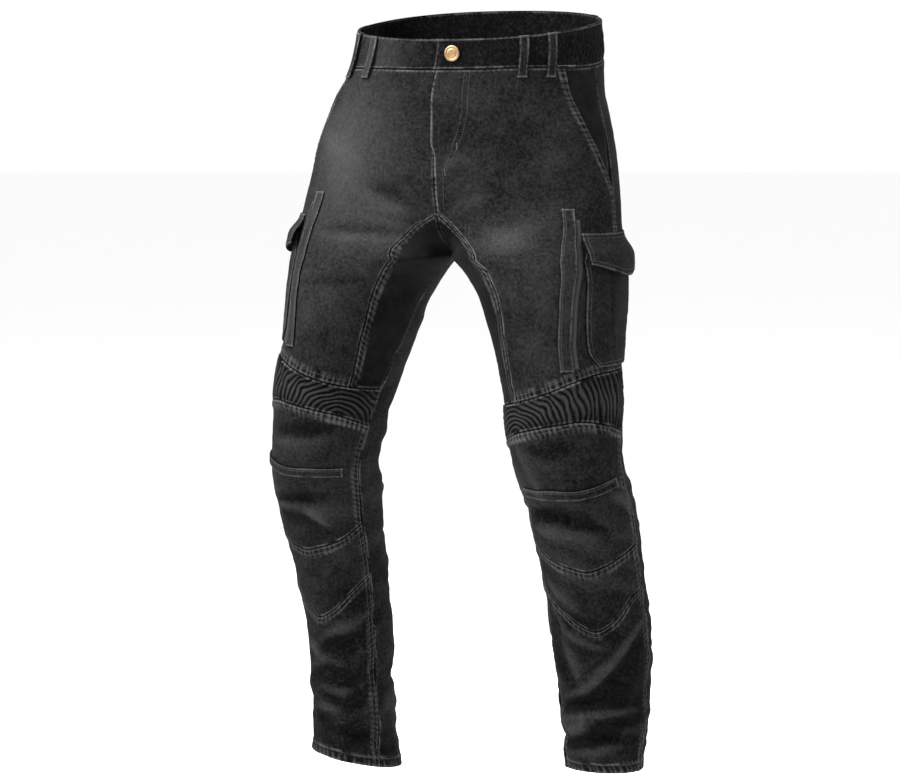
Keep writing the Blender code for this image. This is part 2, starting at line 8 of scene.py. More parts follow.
import logging
import math
from dataclasses import dataclass, field
from enum import Enum
from typing import Callable, Sequence

import bpy
import numpy as np
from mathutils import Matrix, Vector


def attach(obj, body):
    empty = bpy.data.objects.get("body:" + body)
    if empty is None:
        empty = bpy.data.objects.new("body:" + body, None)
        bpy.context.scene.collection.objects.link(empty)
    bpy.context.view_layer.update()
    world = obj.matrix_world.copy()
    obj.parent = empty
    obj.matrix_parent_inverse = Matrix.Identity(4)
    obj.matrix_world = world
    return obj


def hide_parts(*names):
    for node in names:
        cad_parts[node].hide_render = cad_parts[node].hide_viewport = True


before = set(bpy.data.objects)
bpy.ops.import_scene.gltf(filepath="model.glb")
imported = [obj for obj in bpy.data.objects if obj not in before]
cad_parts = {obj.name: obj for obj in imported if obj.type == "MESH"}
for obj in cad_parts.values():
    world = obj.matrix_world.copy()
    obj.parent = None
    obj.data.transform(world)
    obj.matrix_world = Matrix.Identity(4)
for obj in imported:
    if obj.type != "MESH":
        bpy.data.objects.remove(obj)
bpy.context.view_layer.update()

LOG = logging.getLogger("trousers")
Array = np.ndarray

WALL = 0.0020
BAND_WALL = 0.0028
TRIM_WALL = 0.0015
SEAM_GAP = 0.0003
LIFT = 0.0007
SIDE_SEAM = 0.5
CROTCH_Z = -0.300
HEM_Z = -1.004
SEAM_SIDE_Z = -0.0225
CROTCH_DROP = SEAM_SIDE_Z - CROTCH_Z
HEM_DROP = SEAM_SIDE_Z - HEM_Z
TURN_OUT = math.radians(14.5)
THIGH_TOP = 0.2105
POCKET_END = 0.178
STEP = 0.0032  # between the points of the fine cloth


class Side(Enum):
    """A half of the garment, by the wearer's side, with the sign of its X."""

    LEFT = 1
    RIGHT = -1

    @property
    def word(self) -> str:
        """The side's name as the pieces carry it."""
        return self.name.lower()


@dataclass(frozen=True)
class Curve:
    """A smooth curve through a short table of places and values, flat past its ends."""

    at: Sequence[float]
    values: Sequence[float]

    def __call__(self, x: Array | float) -> Array:
        """The curve's values at x."""
        at, values = np.asarray(self.at, float), np.asarray(self.values, float)
        if at[0] > at[-1]:
            at, values = at[::-1], values[::-1]
        x = np.clip(np.asarray(x, float), at[0], at[-1])
        steps = np.diff(at)
        slopes = np.diff(values) / steps
        inner = (slopes[1:] * steps[:-1] + slopes[:-1] * steps[1:]) / (steps[1:] + steps[:-1])
        tangents = np.concatenate([slopes[:1], inner, slopes[-1:]])
        tangents[np.concatenate([[False], slopes[1:] * slopes[:-1] <= 0, [False]])] = 0.0
        i = np.clip(np.searchsorted(at, x, side="right") - 1, 0, len(steps) - 1)
        s = (x - at[i]) / steps[i]
        return (values[i] * (1 + 2 * s) * (1 - s) ** 2 + tangents[i] * steps[i] * s * (1 - s) ** 2
                + values[i + 1] * s * s * (3 - 2 * s) + tangents[i + 1] * steps[i] * s * s * (s - 1))


def ease(x: Array | float, start: float, end: float) -> Array:
    """0 before start, 1 after end and smooth between."""
    s = np.clip((np.asarray(x, float) - start) / (end - start), 0, 1)
    return s * s * (3 - 2 * s)


def bent(x: Array, power: float) -> Array:
    """A power that keeps its number's sign."""
    return np.sign(x) * np.abs(x) ** power


def unit(v: Array) -> Array:
    """The same vectors at length 1."""
    return v / np.maximum(np.linalg.norm(v, axis=-1, keepdims=True), 1e-12)


GIRTH = Curve((-1.0, -0.80, -0.64, -0.50, -0.35, -0.25, -0.02), (0.37, 0.42, 0.46, 0.54, 0.70, 0.62, 0.50))
SWAY = Curve((-1.01, -0.82, -0.64, -0.45, -0.30, -0.20, -0.09, -0.03, 0.05),
             (0.0, -0.004, -0.009, -0.009, -0.009, -0.013, -0.013, -0.003, 0.0))


def girth(drop: Array) -> Array:
    """Roughly how much cloth one unit of turn is."""
    return GIRTH(SEAM_SIDE_Z - np.asarray(drop, float))


class Hips:
    """The body of the trousers, from the waist to the crotch."""

    DROPS = (-0.050, 0.000, 0.045, 0.100, 0.155, 0.200, 0.240, 0.2775)
    HALF_WIDTH = Curve(DROPS, (0.168, 0.176, 0.189, 0.206, 0.2165, 0.2245, 0.229, 0.231))
    CENTRE_Y = Curve(DROPS, (0.000, -0.004, -0.014, -0.027, -0.036, -0.046, -0.055, -0.058))
    FRONT = Curve(DROPS, (0.125, 0.124, 0.117, 0.105, 0.098, 0.092, 0.100, 0.118))
    BACK = Curve(DROPS, (0.122, 0.128, 0.138, 0.153, 0.160, 0.156, 0.140, 0.123))
    CLOSING = Curve(DROPS, (0.000, 0.000, 0.000, 0.000, 0.010, 0.110, 0.400, 1.000))
    WAIST_SIDE_TOP = 0.0135
    WAIST_SLOPE = 0.0215
    BAND_HEIGHT = 0.041
    BAND_GROWTH = (0.013, 0.004)
    SQUARENESS = 0.88

    def band_height(self, angle: Array) -> Array:
        """Height of the waistband at an angle round the waist."""
        sides, back = self.BAND_GROWTH
        return self.BAND_HEIGHT + sides * np.sin(angle) ** 4 + back * (1 - np.cos(angle)) / 2

    def waist_z(self, angle: Array, up: Array | float) -> Array:
        """Height on the waistband, where up is 0 at its lower seam and 1 at its top."""
        return self.WAIST_SIDE_TOP - self.WAIST_SLOPE * np.cos(angle) - self.band_height(angle) * (1 - up)

    def section(self, turn: Array, drop: Array) -> Array:
        """Points of one half, open at the centre front and back."""
        a, cy, closing = self.HALF_WIDTH(drop), self.CENTRE_Y(drop), self.CLOSING(drop)
        angle, oval = math.pi * turn, 2 * math.pi * turn
        depth = np.where(np.cos(angle) > 0, self.FRONT(drop), self.BACK(drop))
        x = a * bent(np.sin(angle), self.SQUARENESS)
        y = cy - depth * bent(np.cos(angle), self.SQUARENESS)
        x = x + (a / 2 * (1 - np.cos(oval)) - x) * closing
        y = y + (cy - 0.120 * np.sin(oval) - y) * closing
        seam = self.waist_z(angle, 0.0)
        return np.stack([x, y, seam + (CROTCH_Z - seam) * np.clip(drop / CROTCH_DROP, None, 1)], -1)

    def waist(self, angle: Array, up: Array, out: Array | float = 0.0) -> Array:
        """Points on the waistband's outer face. up is below 0 on the panels under it."""
        angle, up = np.broadcast_arrays(np.asarray(angle, float), np.asarray(up, float))
        seam = self.waist_z(angle, 0.0)
        below = (seam - self.waist_z(angle, up)) * CROTCH_DROP / (seam - CROTCH_Z)
        drop = np.where(up < 0, below, -self.BAND_HEIGHT * up)
        a, cy, front, back = self.HALF_WIDTH(drop), self.CENTRE_Y(drop), self.FRONT(drop), self.BACK(drop)

        def ring(theta: Array) -> Array:
            """Points of the band at these angles."""
            depth = np.where(np.cos(theta) > 0, front, back)
            return np.stack([a * bent(np.sin(theta), self.SQUARENESS),
                             cy - depth * bent(np.cos(theta), self.SQUARENESS), self.waist_z(theta, up)], -1)

        away = unit(np.cross(ring(angle + 0.02) - ring(angle - 0.02), (0.0, 0.0, 1.0)))
        points = ring(angle) + away * np.asarray(out, float)[..., None]
        points[..., 0] += SWAY(points[..., 2])
        return points


class Legs:
    """The two legs, from the crotch to the hems, bent at the knees."""

    Z = (-0.300, -0.312, -0.335, -0.400, -0.466, -0.555, -0.643, -0.732, -0.821, -0.909, -0.976, -1.010)
    CENTRE_Y = Curve(Z, (-0.058, -0.060, -0.064, -0.076, -0.089, -0.103, -0.072, -0.040, -0.013, 0.000, 0.001, 0.001))
    CENTRE_X = {
        Side.LEFT: Curve(Z, (0.1155, 0.1230, 0.1330, 0.1480, 0.1635, 0.1750, 0.1880, 0.1895, 0.1890, 0.1880, 0.1860, 0.1850)),
        Side.RIGHT: Curve(Z, (0.1155, 0.1230, 0.1330, 0.1480, 0.1635, 0.1750, 0.1880, 0.1890, 0.1910, 0.1935, 0.1915, 0.1905)),
    }
    ACROSS = {
        Side.LEFT: Curve(Z, (0.1155, 0.1080, 0.0980, 0.0850, 0.0810, 0.0755, 0.0735, 0.0700, 0.0680, 0.0620, 0.0565, 0.0530)),
        Side.RIGHT: Curve(Z, (0.1155, 0.1080, 0.0980, 0.0850, 0.0795, 0.0735, 0.0725, 0.0660, 0.0590, 0.0570, 0.0600, 0.0620)),
    }
    FORE = {
        Side.LEFT: Curve(Z, (0.1200, 0.1210, 0.1210, 0.1110, 0.0980, 0.0810, 0.0750, 0.0710, 0.0690, 0.0650, 0.0620, 0.0600)),
        Side.RIGHT: Curve(Z, (0.1200, 0.1210, 0.1210, 0.1110, 0.0980, 0.0810, 0.0750, 0.0690, 0.0630, 0.0610, 0.0640, 0.0660)),
    }
    HEEL_DIP = {Side.LEFT: 0.003, Side.RIGHT: 0.010}
    RIGHT_LONGER = (0.017, 0.009)  # all round, and more at the inseam

    def section(self, side: Side, turn: Array, drop: Array) -> Array:
        """Points round one leg."""
        z = SEAM_SIDE_Z - drop
        out = TURN_OUT * ease(-z, 0.30, 0.52)
        angle = 2 * math.pi * turn
        inner, forward = self.ACROSS[side](z) * np.cos(angle), self.FORE[side](z) * np.sin(angle)
        x = self.CENTRE_X[side](z) - inner * np.cos(out) + forward * np.sin(out)
        y = self.CENTRE_Y(z) - inner * np.sin(out) - forward * np.cos(out)
        z = z + ease(-z, 0.93, 1.0) * self.HEEL_DIP[side] * np.sin(angle)
        if side is Side.RIGHT:
            z = z - ease(-z, 0.86, 1.0) * (self.RIGHT_LONGER[0] + self.RIGHT_LONGER[1] * np.cos(angle))
        return np.stack([x, y, z], -1)


@dataclass(frozen=True)
class Fold:
    """A ridge or trough along a line on the cloth, by the turn and height of its points.

    Only the side's cloth has it, or both sides' where side is None. rise is below 0 in a trough, and width is
    half of the fold's.
    """

    side: Side | None
    turns: tuple[float, ...]
    heights: tuple[float, ...]
    rise: float
    width: float

    def height(self, turn: Array, z: Array, metres: Array) -> Array:
        """How far the fold raises each point."""
        best = np.full(turn.shape, 1e3)
        place = np.zeros(turn.shape)
        count = len(self.turns) - 1
        for k in range(count):
            a_turn = turn - self.turns[k]
            a_turn = np.where(z < CROTCH_Z, a_turn - np.round(a_turn), a_turn) * metres
            a_up = z - self.heights[k]
            run_turn = (self.turns[k + 1] - self.turns[k]) * metres
            run_up = self.heights[k + 1] - self.heights[k]
            s = (a_turn * run_turn + a_up * run_up) / (run_turn ** 2 + run_up ** 2)
            held = np.clip(s, 0, 1)
            away = np.hypot(a_turn - held * run_turn, a_up - held * run_up)
            nearer = away < best
            best = np.where(nearer, away, best)
            place = np.where(nearer, (k + held) / count, place)
        thick = self.width * (0.55 + 0.9 * np.sin(math.pi * np.clip(place, 0.04, 0.96)) ** 0.7)
        return self.rise * np.exp(-(best / thick) ** 2) * (0.45 + 0.55 * np.sin(math.pi * place))


@dataclass
class Mottle:
    """Smooth random relief from a seeded lattice, the same on each run."""

    seed: int
    cell: tuple[float, float]  # its size across and down
    lattice: Array = field(init=False)

    def __post_init__(self) -> None:
        """Draws the lattice."""
        self.lattice = np.random.default_rng(self.seed).standard_normal((512, 512))

    def __call__(self, across: Array, down: Array) -> Array:
        """The relief at these places, mostly from -1 to 1."""
        x, y = across / self.cell[0] + 200.0, down / self.cell[1] + 200.0
        i, j = np.floor(x).astype(int), np.floor(y).astype(int)
        u, v = x - i, y - j
        u, v = u ** 3 * (u * (6 * u - 15) + 10), v ** 3 * (v * (6 * v - 15) + 10)
        g = self.lattice
        i, j, k, m = i % 512, j % 512, (i + 1) % 512, (j + 1) % 512
        return (g[i, j] * (1 - u) + g[k, j] * u) * (1 - v) + (g[i, m] * (1 - u) + g[k, m] * u) * v


class Cloth:
    """The whole garment's cloth: its form, its folds, its small rumples and how pale it is, washed out in places, with
    painted highlight and painted shade on its folds.
    """

    BIG_FOLDS = {
        "side": "LLLLLLLRRRRRBBBB",
        "turn": (0.19, 0.30, 0.22, 0.30, 0.20, 0.30, 0.10, 0.27, 0.20, 0.20, 0.14, 0.30, 0.74, 0.78, 0.72, 0.76),
        "z": (-0.645, -0.660, -0.952, -0.935, -1.000, -0.905, -0.860, -0.640, -0.915, -0.940, -0.965, -0.900,
              -0.570, -0.610, -0.945, -0.905),
        "along": (0.060, 0.050, 0.065, 0.050, 0.045, 0.070, 0.050, 0.060, 0.050, 0.050, 0.040, 0.045,
                  0.070, 0.060, 0.060, 0.050),
        "width": (0.013, 0.016, 0.013, 0.016, 0.012, 0.014, 0.014, 0.014, 0.014, 0.014, 0.014, 0.014,
                  0.015, 0.015, 0.014, 0.014),
        "tilt": (-12, 10, 3, 8, 4, 50, -62, -14, -20, 10, 12, -5, 5, -8, 4, -10),
        "rise": (-0.006, 0.005, -0.007, 0.005, -0.005, 0.005, 0.005, -0.006, -0.005, 0.005, -0.006, 0.005,
                 -0.007, 0.005, -0.006, 0.005),
    }
    L, R = Side.LEFT, Side.RIGHT
    FOLDS = (
        # The wearer's right leg, from the thigh down
        Fold(R, (0.278, 0.169, 0.082), (-0.256, -0.258, -0.260), -0.0017, 0.006),
        Fold(R, (0.290, 0.180, 0.090), (-0.268, -0.271, -0.274), 0.0013, 0.007),
        Fold(R, (0.326, 0.238, 0.181), (-0.331, -0.330, -0.328), -0.0013, 0.006),
        Fold(R, (0.162, 0.094, 0.052), (-0.206, -0.223, -0.236), 0.0016, 0.009),
        Fold(R, (0.130, 0.080, 0.040), (-0.190, -0.206, -0.222), -0.0011, 0.008),
        Fold(R, (0.304, 0.200, 0.127), (-0.537, -0.534, -0.532), -0.0024, 0.008),
        Fold(R, (0.320, 0.230, 0.150), (-0.552, -0.549, -0.547), 0.0018, 0.008),
        Fold(R, (0.334, 0.232, 0.153), (-0.637, -0.634, -0.630), -0.0032, 0.007),
        Fold(R, (0.350, 0.221, 0.171, 0.151), (-0.646, -0.647, -0.658, -0.672), 0.0032, 0.006),
        Fold(R, (0.330, 0.215, 0.165), (-0.659, -0.660, -0.671), -0.0026, 0.006),
        Fold(R, (0.338, 0.255), (-0.844, -0.868), 0.0032, 0.007),
        Fold(R, (0.253, 0.200, 0.138, 0.063), (-0.841, -0.829, -0.821, -0.800), 0.0032, 0.007),
        Fold(R, (0.250, 0.180, 0.110), (-0.857, -0.845, -0.836), -0.0026, 0.008),
        Fold(R, (0.350, 0.231, 0.166, 0.120), (-0.902, -0.889, -0.895, -0.905), -0.0042, 0.008),
        Fold(R, (0.340, 0.240, 0.170), (-0.884, -0.873, -0.878), 0.0026, 0.007),
        Fold(R, (0.246, 0.172, 0.108, 0.074), (-0.920, -0.926, -0.915, -0.905), -0.0034, 0.007),
        Fold(R, (0.260, 0.170, 0.100), (-0.906, -0.911, -0.902), 0.0028, 0.007),
        Fold(R, (0.324, 0.158), (-0.934, -0.928), 0.0026, 0.005),
        Fold(R, (0.291, 0.230), (-0.945, -0.959), -0.0044, 0.009),
        Fold(R, (0.178, 0.086), (-0.961, -0.960), -0.0044, 0.009),
        Fold(R, (0.024, -0.036, -0.067), (-0.934, -0.921, -0.982), 0.0034, 0.008),
        Fold(R, (0.460, 0.400, 0.340), (-0.930, -0.922, -0.930), -0.0034, 0.008),
        # The wearer's left leg
        Fold(L, (0.143, 0.263), (-0.260, -0.280), 0.0022, 0.014),
        Fold(L, (0.110, 0.200, 0.270), (-0.290, -0.300, -0.318), -0.0014, 0.010),
        Fold(L, (0.154, 0.229, 0.292), (-0.546, -0.545, -0.543), -0.0027, 0.008),
        Fold(L, (0.108, 0.144, 0.165), (-0.542, -0.578, -0.618), 0.0022, 0.007),
        Fold(L, (0.097, 0.192, 0.260, 0.314), (-0.640, -0.638, -0.644, -0.650), -0.0052, 0.009),
        Fold(L, (0.110, 0.200, 0.290), (-0.660, -0.658, -0.664), 0.0026, 0.008),
        Fold(L, (0.371, 0.421, 0.441), (-0.603, -0.618, -0.636), 0.0026, 0.007),
        Fold(L, (0.097, 0.156, 0.196), (-0.729, -0.756, -0.768), 0.0026, 0.007),
        Fold(L, (0.083, 0.144, 0.197, 0.279), (-0.753, -0.803, -0.813, -0.826), 0.0026, 0.0045),
        Fold(L, (0.411, 0.354, 0.302, 0.247, 0.196, 0.095), (-0.789, -0.815, -0.842, -0.865, -0.884, -0.903),
             0.0046, 0.0058),
        Fold(L, (0.400, 0.340, 0.290, 0.240), (-0.815, -0.840, -0.866, -0.888), -0.0030, 0.009),
        Fold(L, (0.135, 0.163, 0.182), (-0.817, -0.847, -0.874), 0.0028, 0.007),
        Fold(L, (0.080, 0.204, 0.299, 0.370), (-0.914, -0.902, -0.895, -0.901), -0.0062, 0.008),
        Fold(L, (0.090, 0.200, 0.300, 0.380), (-0.930, -0.917, -0.911, -0.914), 0.0030, 0.007),
        Fold(L, (0.243, 0.375, 0.449), (-0.927, -0.923, -0.921), -0.0034, 0.006),
        Fold(L, (0.183, 0.183, 0.100), (-0.921, -0.935, -0.956), 0.0034, 0.007),
        Fold(L, (0.092, 0.223, 0.299), (-0.965, -0.954, -0.948), -0.0052, 0.008),
        Fold(L, (0.100, 0.220, 0.330), (-0.980, -0.970, -0.965), 0.0024, 0.007),
        Fold(L, (0.100, 0.160, 0.225), (-0.6350, -0.6350, -0.6420), -0.0028, 0.0034),
        Fold(L, (0.110, 0.210, 0.310), (-0.9100, -0.8990, -0.8925), -0.0028, 0.0034),
        Fold(R, (0.330, 0.235, 0.160), (-0.6330, -0.6300, -0.6265), -0.0022, 0.0032),
        Fold(R, (0.340, 0.235, 0.170), (-0.8990, -0.8860, -0.8920), -0.0024, 0.0034),
        # Below the fly and over the hips
        Fold(L, (0.055, 0.030, 0.012), (-0.150, -0.160, -0.176), 0.0011, 0.004),
        Fold(L, (0.060, 0.036, 0.016), (-0.166, -0.176, -0.190), -0.0009, 0.004),
        Fold(L, (0.020, 0.060, 0.110), (-0.236, -0.220, -0.208), 0.0016, 0.008),
        Fold(R, (0.015, 0.050, 0.090), (-0.250, -0.244, -0.240), -0.0014, 0.007),
        Fold(L, (0.350, 0.250, 0.150), (-0.140, -0.160, -0.186), 0.0010, 0.014),
        Fold(R, (0.330, 0.240, 0.150), (-0.120, -0.140, -0.166), 0.0010, 0.014),
        # Behind: under the seat, at the backs of the knees and above the hems
        Fold(None, (0.980, 0.900, 0.800), (-0.296, -0.312, -0.318), -0.0030, 0.011),
        Fold(None, (0.960, 0.880, 0.780), (-0.332, -0.345, -0.348), 0.0020, 0.012),
        Fold(None, (0.930, 0.820, 0.700), (-0.262, -0.270, -0.262), 0.0018, 0.014),
        Fold(None, (0.940, 0.860, 0.760, 0.640), (-0.505, -0.520, -0.524, -0.512), -0.0036, 0.009),
        Fold(None, (0.920, 0.820, 0.700), (-0.540, -0.550, -0.546), 0.0034, 0.009),
        Fold(None, (0.950, 0.850, 0.740, 0.620), (-0.585, -0.590, -0.586, -0.572), -0.0042, 0.009),
        Fold(None, (0.900, 0.800, 0.680), (-0.622, -0.632, -0.626), 0.0032, 0.009),
        Fold(None, (0.860, 0.760, 0.660), (-0.655, -0.668, -0.662), -0.0026, 0.010),
        Fold(L, (0.920, 0.820, 0.700, 0.600), (-0.850, -0.868, -0.872, -0.858), 0.0034, 0.010),
        Fold(R, (0.900, 0.790, 0.680, 0.580), (-0.862, -0.876, -0.870, -0.852), 0.0032, 0.010),
        Fold(None, (0.940, 0.830, 0.700), (-0.894, -0.902, -0.892), -0.0040, 0.009),
        Fold(None, (0.900, 0.780, 0.640), (-0.930, -0.938, -0.926), 0.0030, 0.008),
        Fold(None, (0.920, 0.800, 0.680), (-0.958, -0.966, -0.958), -0.0038, 0.008),
    )

    def __init__(self) -> None:
        """Makes the form and the seeded rumples."""
        self.hips, self.legs = Hips(), Legs()
        self.broad = Mottle(11, (0.050, 0.030))
        self.small = Mottle(12, (0.017, 0.010))
        self.fine = Mottle(13, (0.0065, 0.0048))
        self.patches = Mottle(14, (0.070, 0.060))

    def base(self, side: Side, turn: Array, drop: Array) -> Array:
        """The outer face without folds."""
        turn, drop = np.broadcast_arrays(np.asarray(turn, float), np.asarray(drop, float))
        hip = self.hips.section(turn, np.minimum(drop, CROTCH_DROP))
        leg = self.legs.section(side, turn, np.maximum(drop, CROTCH_DROP))
        points = np.where((drop < CROTCH_DROP)[..., None], hip, leg) * (side.value, 1, 1)
        points[..., 0] += SWAY(points[..., 2])
        return points

    def away(self, side: Side, turn: Array, drop: Array, step: float = 0.004) -> Array:
        """Unit normals that point out of the cloth."""
        around = self.base(side, turn + step, drop) - self.base(side, turn - step, drop)
        down = self.base(side, turn, drop + step) - self.base(side, turn, drop - step)
        return unit(np.cross(down, around)) * side.value

    def big(self, side: Side, turn: Array, drop: Array) -> Array:
        """The largest folds and the fly's lap, which the solids have too."""
        z, metres = SEAM_SIDE_Z - drop, girth(drop)
        total = (1 - ease(turn, 0.03, 0.09)) * (1 - ease(drop, 0.134, 0.165)) * 0.0012 * side.value
        for which, at, height, along, width, tilt, rise in zip(*self.BIG_FOLDS.values()):
            if which not in ("B", side.name[0]):
                continue
            away = turn - at
            away = np.where(drop > CROTCH_DROP, away - np.round(away), away) * metres
            c, s = math.cos(math.radians(tilt)), math.sin(math.radians(tilt))
            total = total + rise * np.exp(-((away * c + (z - height) * s) / along) ** 2
                                          - (((z - height) * c - away * s) / width) ** 2)
        return total

    def placed(self, side: Side, turn: Array, drop: Array) -> Array:
        """The smaller folds."""
        z, metres = SEAM_SIDE_Z - drop, girth(drop)
        total = np.zeros(np.shape(turn))
        for each in self.FOLDS:
            if each.side in (None, side):
                total = total + each.height(turn, z, metres)
        return total

    def rumple(self, side: Side, turn: Array, drop: Array) -> Array:
        """Soft irregular rumples all over."""
        z, metres = SEAM_SIDE_Z - drop, girth(drop)
        across = (turn - 0.5 + 3 * (side is Side.LEFT)) * metres
        lower = 0.30 + 0.70 * ease(-z, 0.50, 0.66) + 0.35 * ease(-z, 0.84, 0.92) + 0.25 * ease(turn, 0.5, 0.7)
        return lower * (0.0010 * self.broad(across + 0.6 * z, z + 0.25 * across)
                        + 0.00042 * self.small(across, z + 0.15 * across)) + 0.00008 * self.fine(across, z)

    def points(self, side: Side, turn: Array, drop: Array, out: Array | float = 0.0) -> Array:
        """Points on the cloth's outer face, moved out by out."""
        lift = self.big(side, turn, drop) + self.placed(side, turn, drop) + self.rumple(side, turn, drop) + out
        away = self.away(side, turn, drop)
        # Folds don't part the two halves along the middle line
        near = (1 - ease(np.minimum(turn, 1 - turn), 0.0, 0.04)) * (1 - ease(drop, CROTCH_DROP, CROTCH_DROP + 0.015))
        away[..., 0] *= 1 - near
        return self.base(side, turn, drop) + away * lift[..., None]

    def worn(self, side: Side, turn: Array, drop: Array) -> Array:
        """How pale the colour is, from 0 to 1, before the seams add to it: washed out in places, paler on the folds'
        ridges, partly rubbed and partly painted highlight, and darker in their troughs as painted shade.
        """
        z = SEAM_SIDE_Z - drop
        front = np.exp(-((turn - 0.20) / 0.15) ** 2)
        thigh = np.exp(-((z + 0.30) / 0.13) ** 2) * front
        knee = np.exp(-((z + 0.64) / 0.10) ** 2) * front
        hip = np.exp(-((z + 0.13) / 0.10) ** 2) * np.exp(-((turn - 0.22) / 0.13) ** 2) * (side is Side.RIGHT)
        seat = np.exp(-((z + 0.20) / 0.10) ** 2 - ((turn - 0.86) / 0.10) ** 2)
        across = turn * girth(drop) + 0.4 * side.value
        # The folds' ridges are painted paler, partly rubbed and partly painted highlight, and their troughs darker as
        # painted shade.
        folds = self.placed(side, turn, drop) + 0.35 * self.rumple(side, turn, drop)
        low = ease(-z, 0.62, 0.82) * (1.5 if side is Side.LEFT else 1.0)
        return (0.10 - 0.05 * low + 0.07 * thigh + 0.04 * knee + 0.28 * hip + 0.045 * seat
                + 0.03 * self.patches(across, z) + np.clip(folds * 75, -0.10, 0.24))


CLOTH = Cloth()


@dataclass(frozen=True)
class Seam:
    """How one edge of a piece is sewn."""

    rows: tuple[float, ...] = ()  # distances of its rows of stitches from the edge
    fell: float = 0.0  # width of the band beside it where the allowance lies under the cloth
    pucker: float = 0.0
    roll: float = 0.0010  # how far the edge turns down into the seam

    height: float = 0.0006  # of that band
    shine: float = 1.0  # how strongly its ridges are lightened, partly rubbed and partly painted highlight, and its groove darkened as painted shade
    PUCKER_PITCH = 0.0078

    def relief(self, distance: Array, run: Array, wobble: Array) -> Array:
        """Relief of the cloth at a distance from the edge and a run along it."""
        lift = -self.roll * np.exp(-(distance / 0.0011) ** 2)
        if self.fell:
            lift = lift + self.height * (1 - ease(distance, self.fell - 0.0004, self.fell + 0.0018))
        for row in self.rows:
            lift = lift - 0.00028 * np.exp(-((distance - row) / 0.0009) ** 2)
        wave = np.sin(2 * math.pi * run / self.PUCKER_PITCH + 1.3 * wobble)
        reach = np.exp(-((distance - 0.0045) / 0.0050) ** 2)
        return lift + self.pucker * (0.6 + 0.4 * wobble) * wave * reach

    def wear(self, distance: Array, run: Array, wobble: Array) -> Array:
        """How much lighter the cloth is there: paler on the edge's crest and the fell's ridge, partly rubbed and
        partly painted highlight, darker in the seam's groove as painted shade, and paler and darker over the puckers
        as painted highlight and painted shade.
        """
        wave = np.sin(2 * math.pi * run / self.PUCKER_PITCH + 1.3 * wobble)
        broken = 0.6 + 0.5 * wobble + 0.4 * wave
        # Crest beside the edge paler, partly rubbed and partly painted highlight; the groove at the edge darker as
        # painted shade.
        light = 0.60 * broken * np.exp(-((distance - 0.0016) / 0.0013) ** 2) - 0.60 * np.exp(-(distance / 0.0008) ** 2)
        if self.fell:
            light = light + 0.55 * np.exp(-((distance - self.fell) / 0.0013) ** 2) * broken
            # The puckers' crests and hollows get painted highlight and painted shade.
            light = light + 0.42 * wave * np.exp(-((distance - 0.0045) / 0.0050) ** 2)
        return light * self.shine


RAW = Seam(roll=0.0004)
PLAIN = Seam(pucker=0.00022)
TOPSTITCHED = Seam(rows=(0.0022, 0.0084), fell=0.0102, pucker=0.00055)
DARK_STITCHED = Seam(rows=(0.0022, 0.0084), fell=0.0102, pucker=0.00055, shine=0.62)
BOUND = Seam(rows=(0.0020, 0.0072), fell=0.0090, pucker=0.00040, roll=0.0004, height=0.0020, shine=1.35)
EDGE_STITCHED = Seam(rows=(0.0020,), pucker=0.00020, roll=0.0007)


def spread(length: float, step: float) -> Array:
    """Fractions along a length, closer together near both ends, where the seams are."""
    near = np.array((0.0, 0.0005, 0.0011, 0.0019, 0.0030, 0.0046))
    if length < 3 * near[-1]:
        return np.linspace(0, 1, max(3, round(length / 0.0008) + 1))
    middle = np.linspace(near[-1], length - near[-1], max(2, round((length - 2 * near[-1]) / step) + 1))
    return np.concatenate([near[:-1], middle, length - near[:-1][::-1]]) / length


def run_lengths(grid: Array, axis: int) -> Array:
    """Length run along each line of a grid's rows or columns."""
    steps = np.linalg.norm(np.diff(grid, axis=axis), axis=-1)
    return np.insert(np.cumsum(steps, axis=axis), 0, 0.0, axis=axis)


@dataclass
class Piece:
    """A fine cloth piece in rows and columns, its outer face, inner face and looks."""

    name: str
    plain: Array  # its outer face without small relief, whose lengths give the cut
    outer: Array
    inner: Array
    worn: Array
    edges: dict[str, Seam]

    def away(self) -> Array:
        """Unit normals of the outer face."""
        across, down = np.gradient(self.outer, axis=1), np.gradient(self.outer, axis=0)
        n = unit(np.cross(down, across))
        return n if ((self.outer - self.inner) * n).sum() > 0 else -n

    def line(self, edge: str, distance: float) -> tuple[Array, Array]:
        """Points and normals of the line at a distance from an edge."""
        grid, normals = self.outer, self.away()
        if edge in ("top", "bottom"):
            grid, normals = grid.swapaxes(0, 1), normals.swapaxes(0, 1)
        if edge in ("right", "bottom"):
            grid, normals = grid[:, ::-1], normals[:, ::-1]
        lengths = run_lengths(grid, 1)
        lines = [[np.array([np.interp(distance, run, values[:, k]) for k in range(3)])
                  for run, values in zip(lengths, source)] for source in (grid, normals)]
        return np.array(lines[0]), unit(np.array(lines[1]))

    def cut(self) -> tuple[float, float, float]:
        """Width, length and area of the flat cloth."""
        width = float(run_lengths(self.plain, 1)[:, -1].max())
        length = float(run_lengths(self.plain, 0)[-1].max())
        g = self.plain
        area = np.linalg.norm(np.cross(g[1:, 1:] - g[:-1, :-1], g[1:, :-1] - g[:-1, 1:]), axis=-1).sum() / 2
        return width, length, float(area)


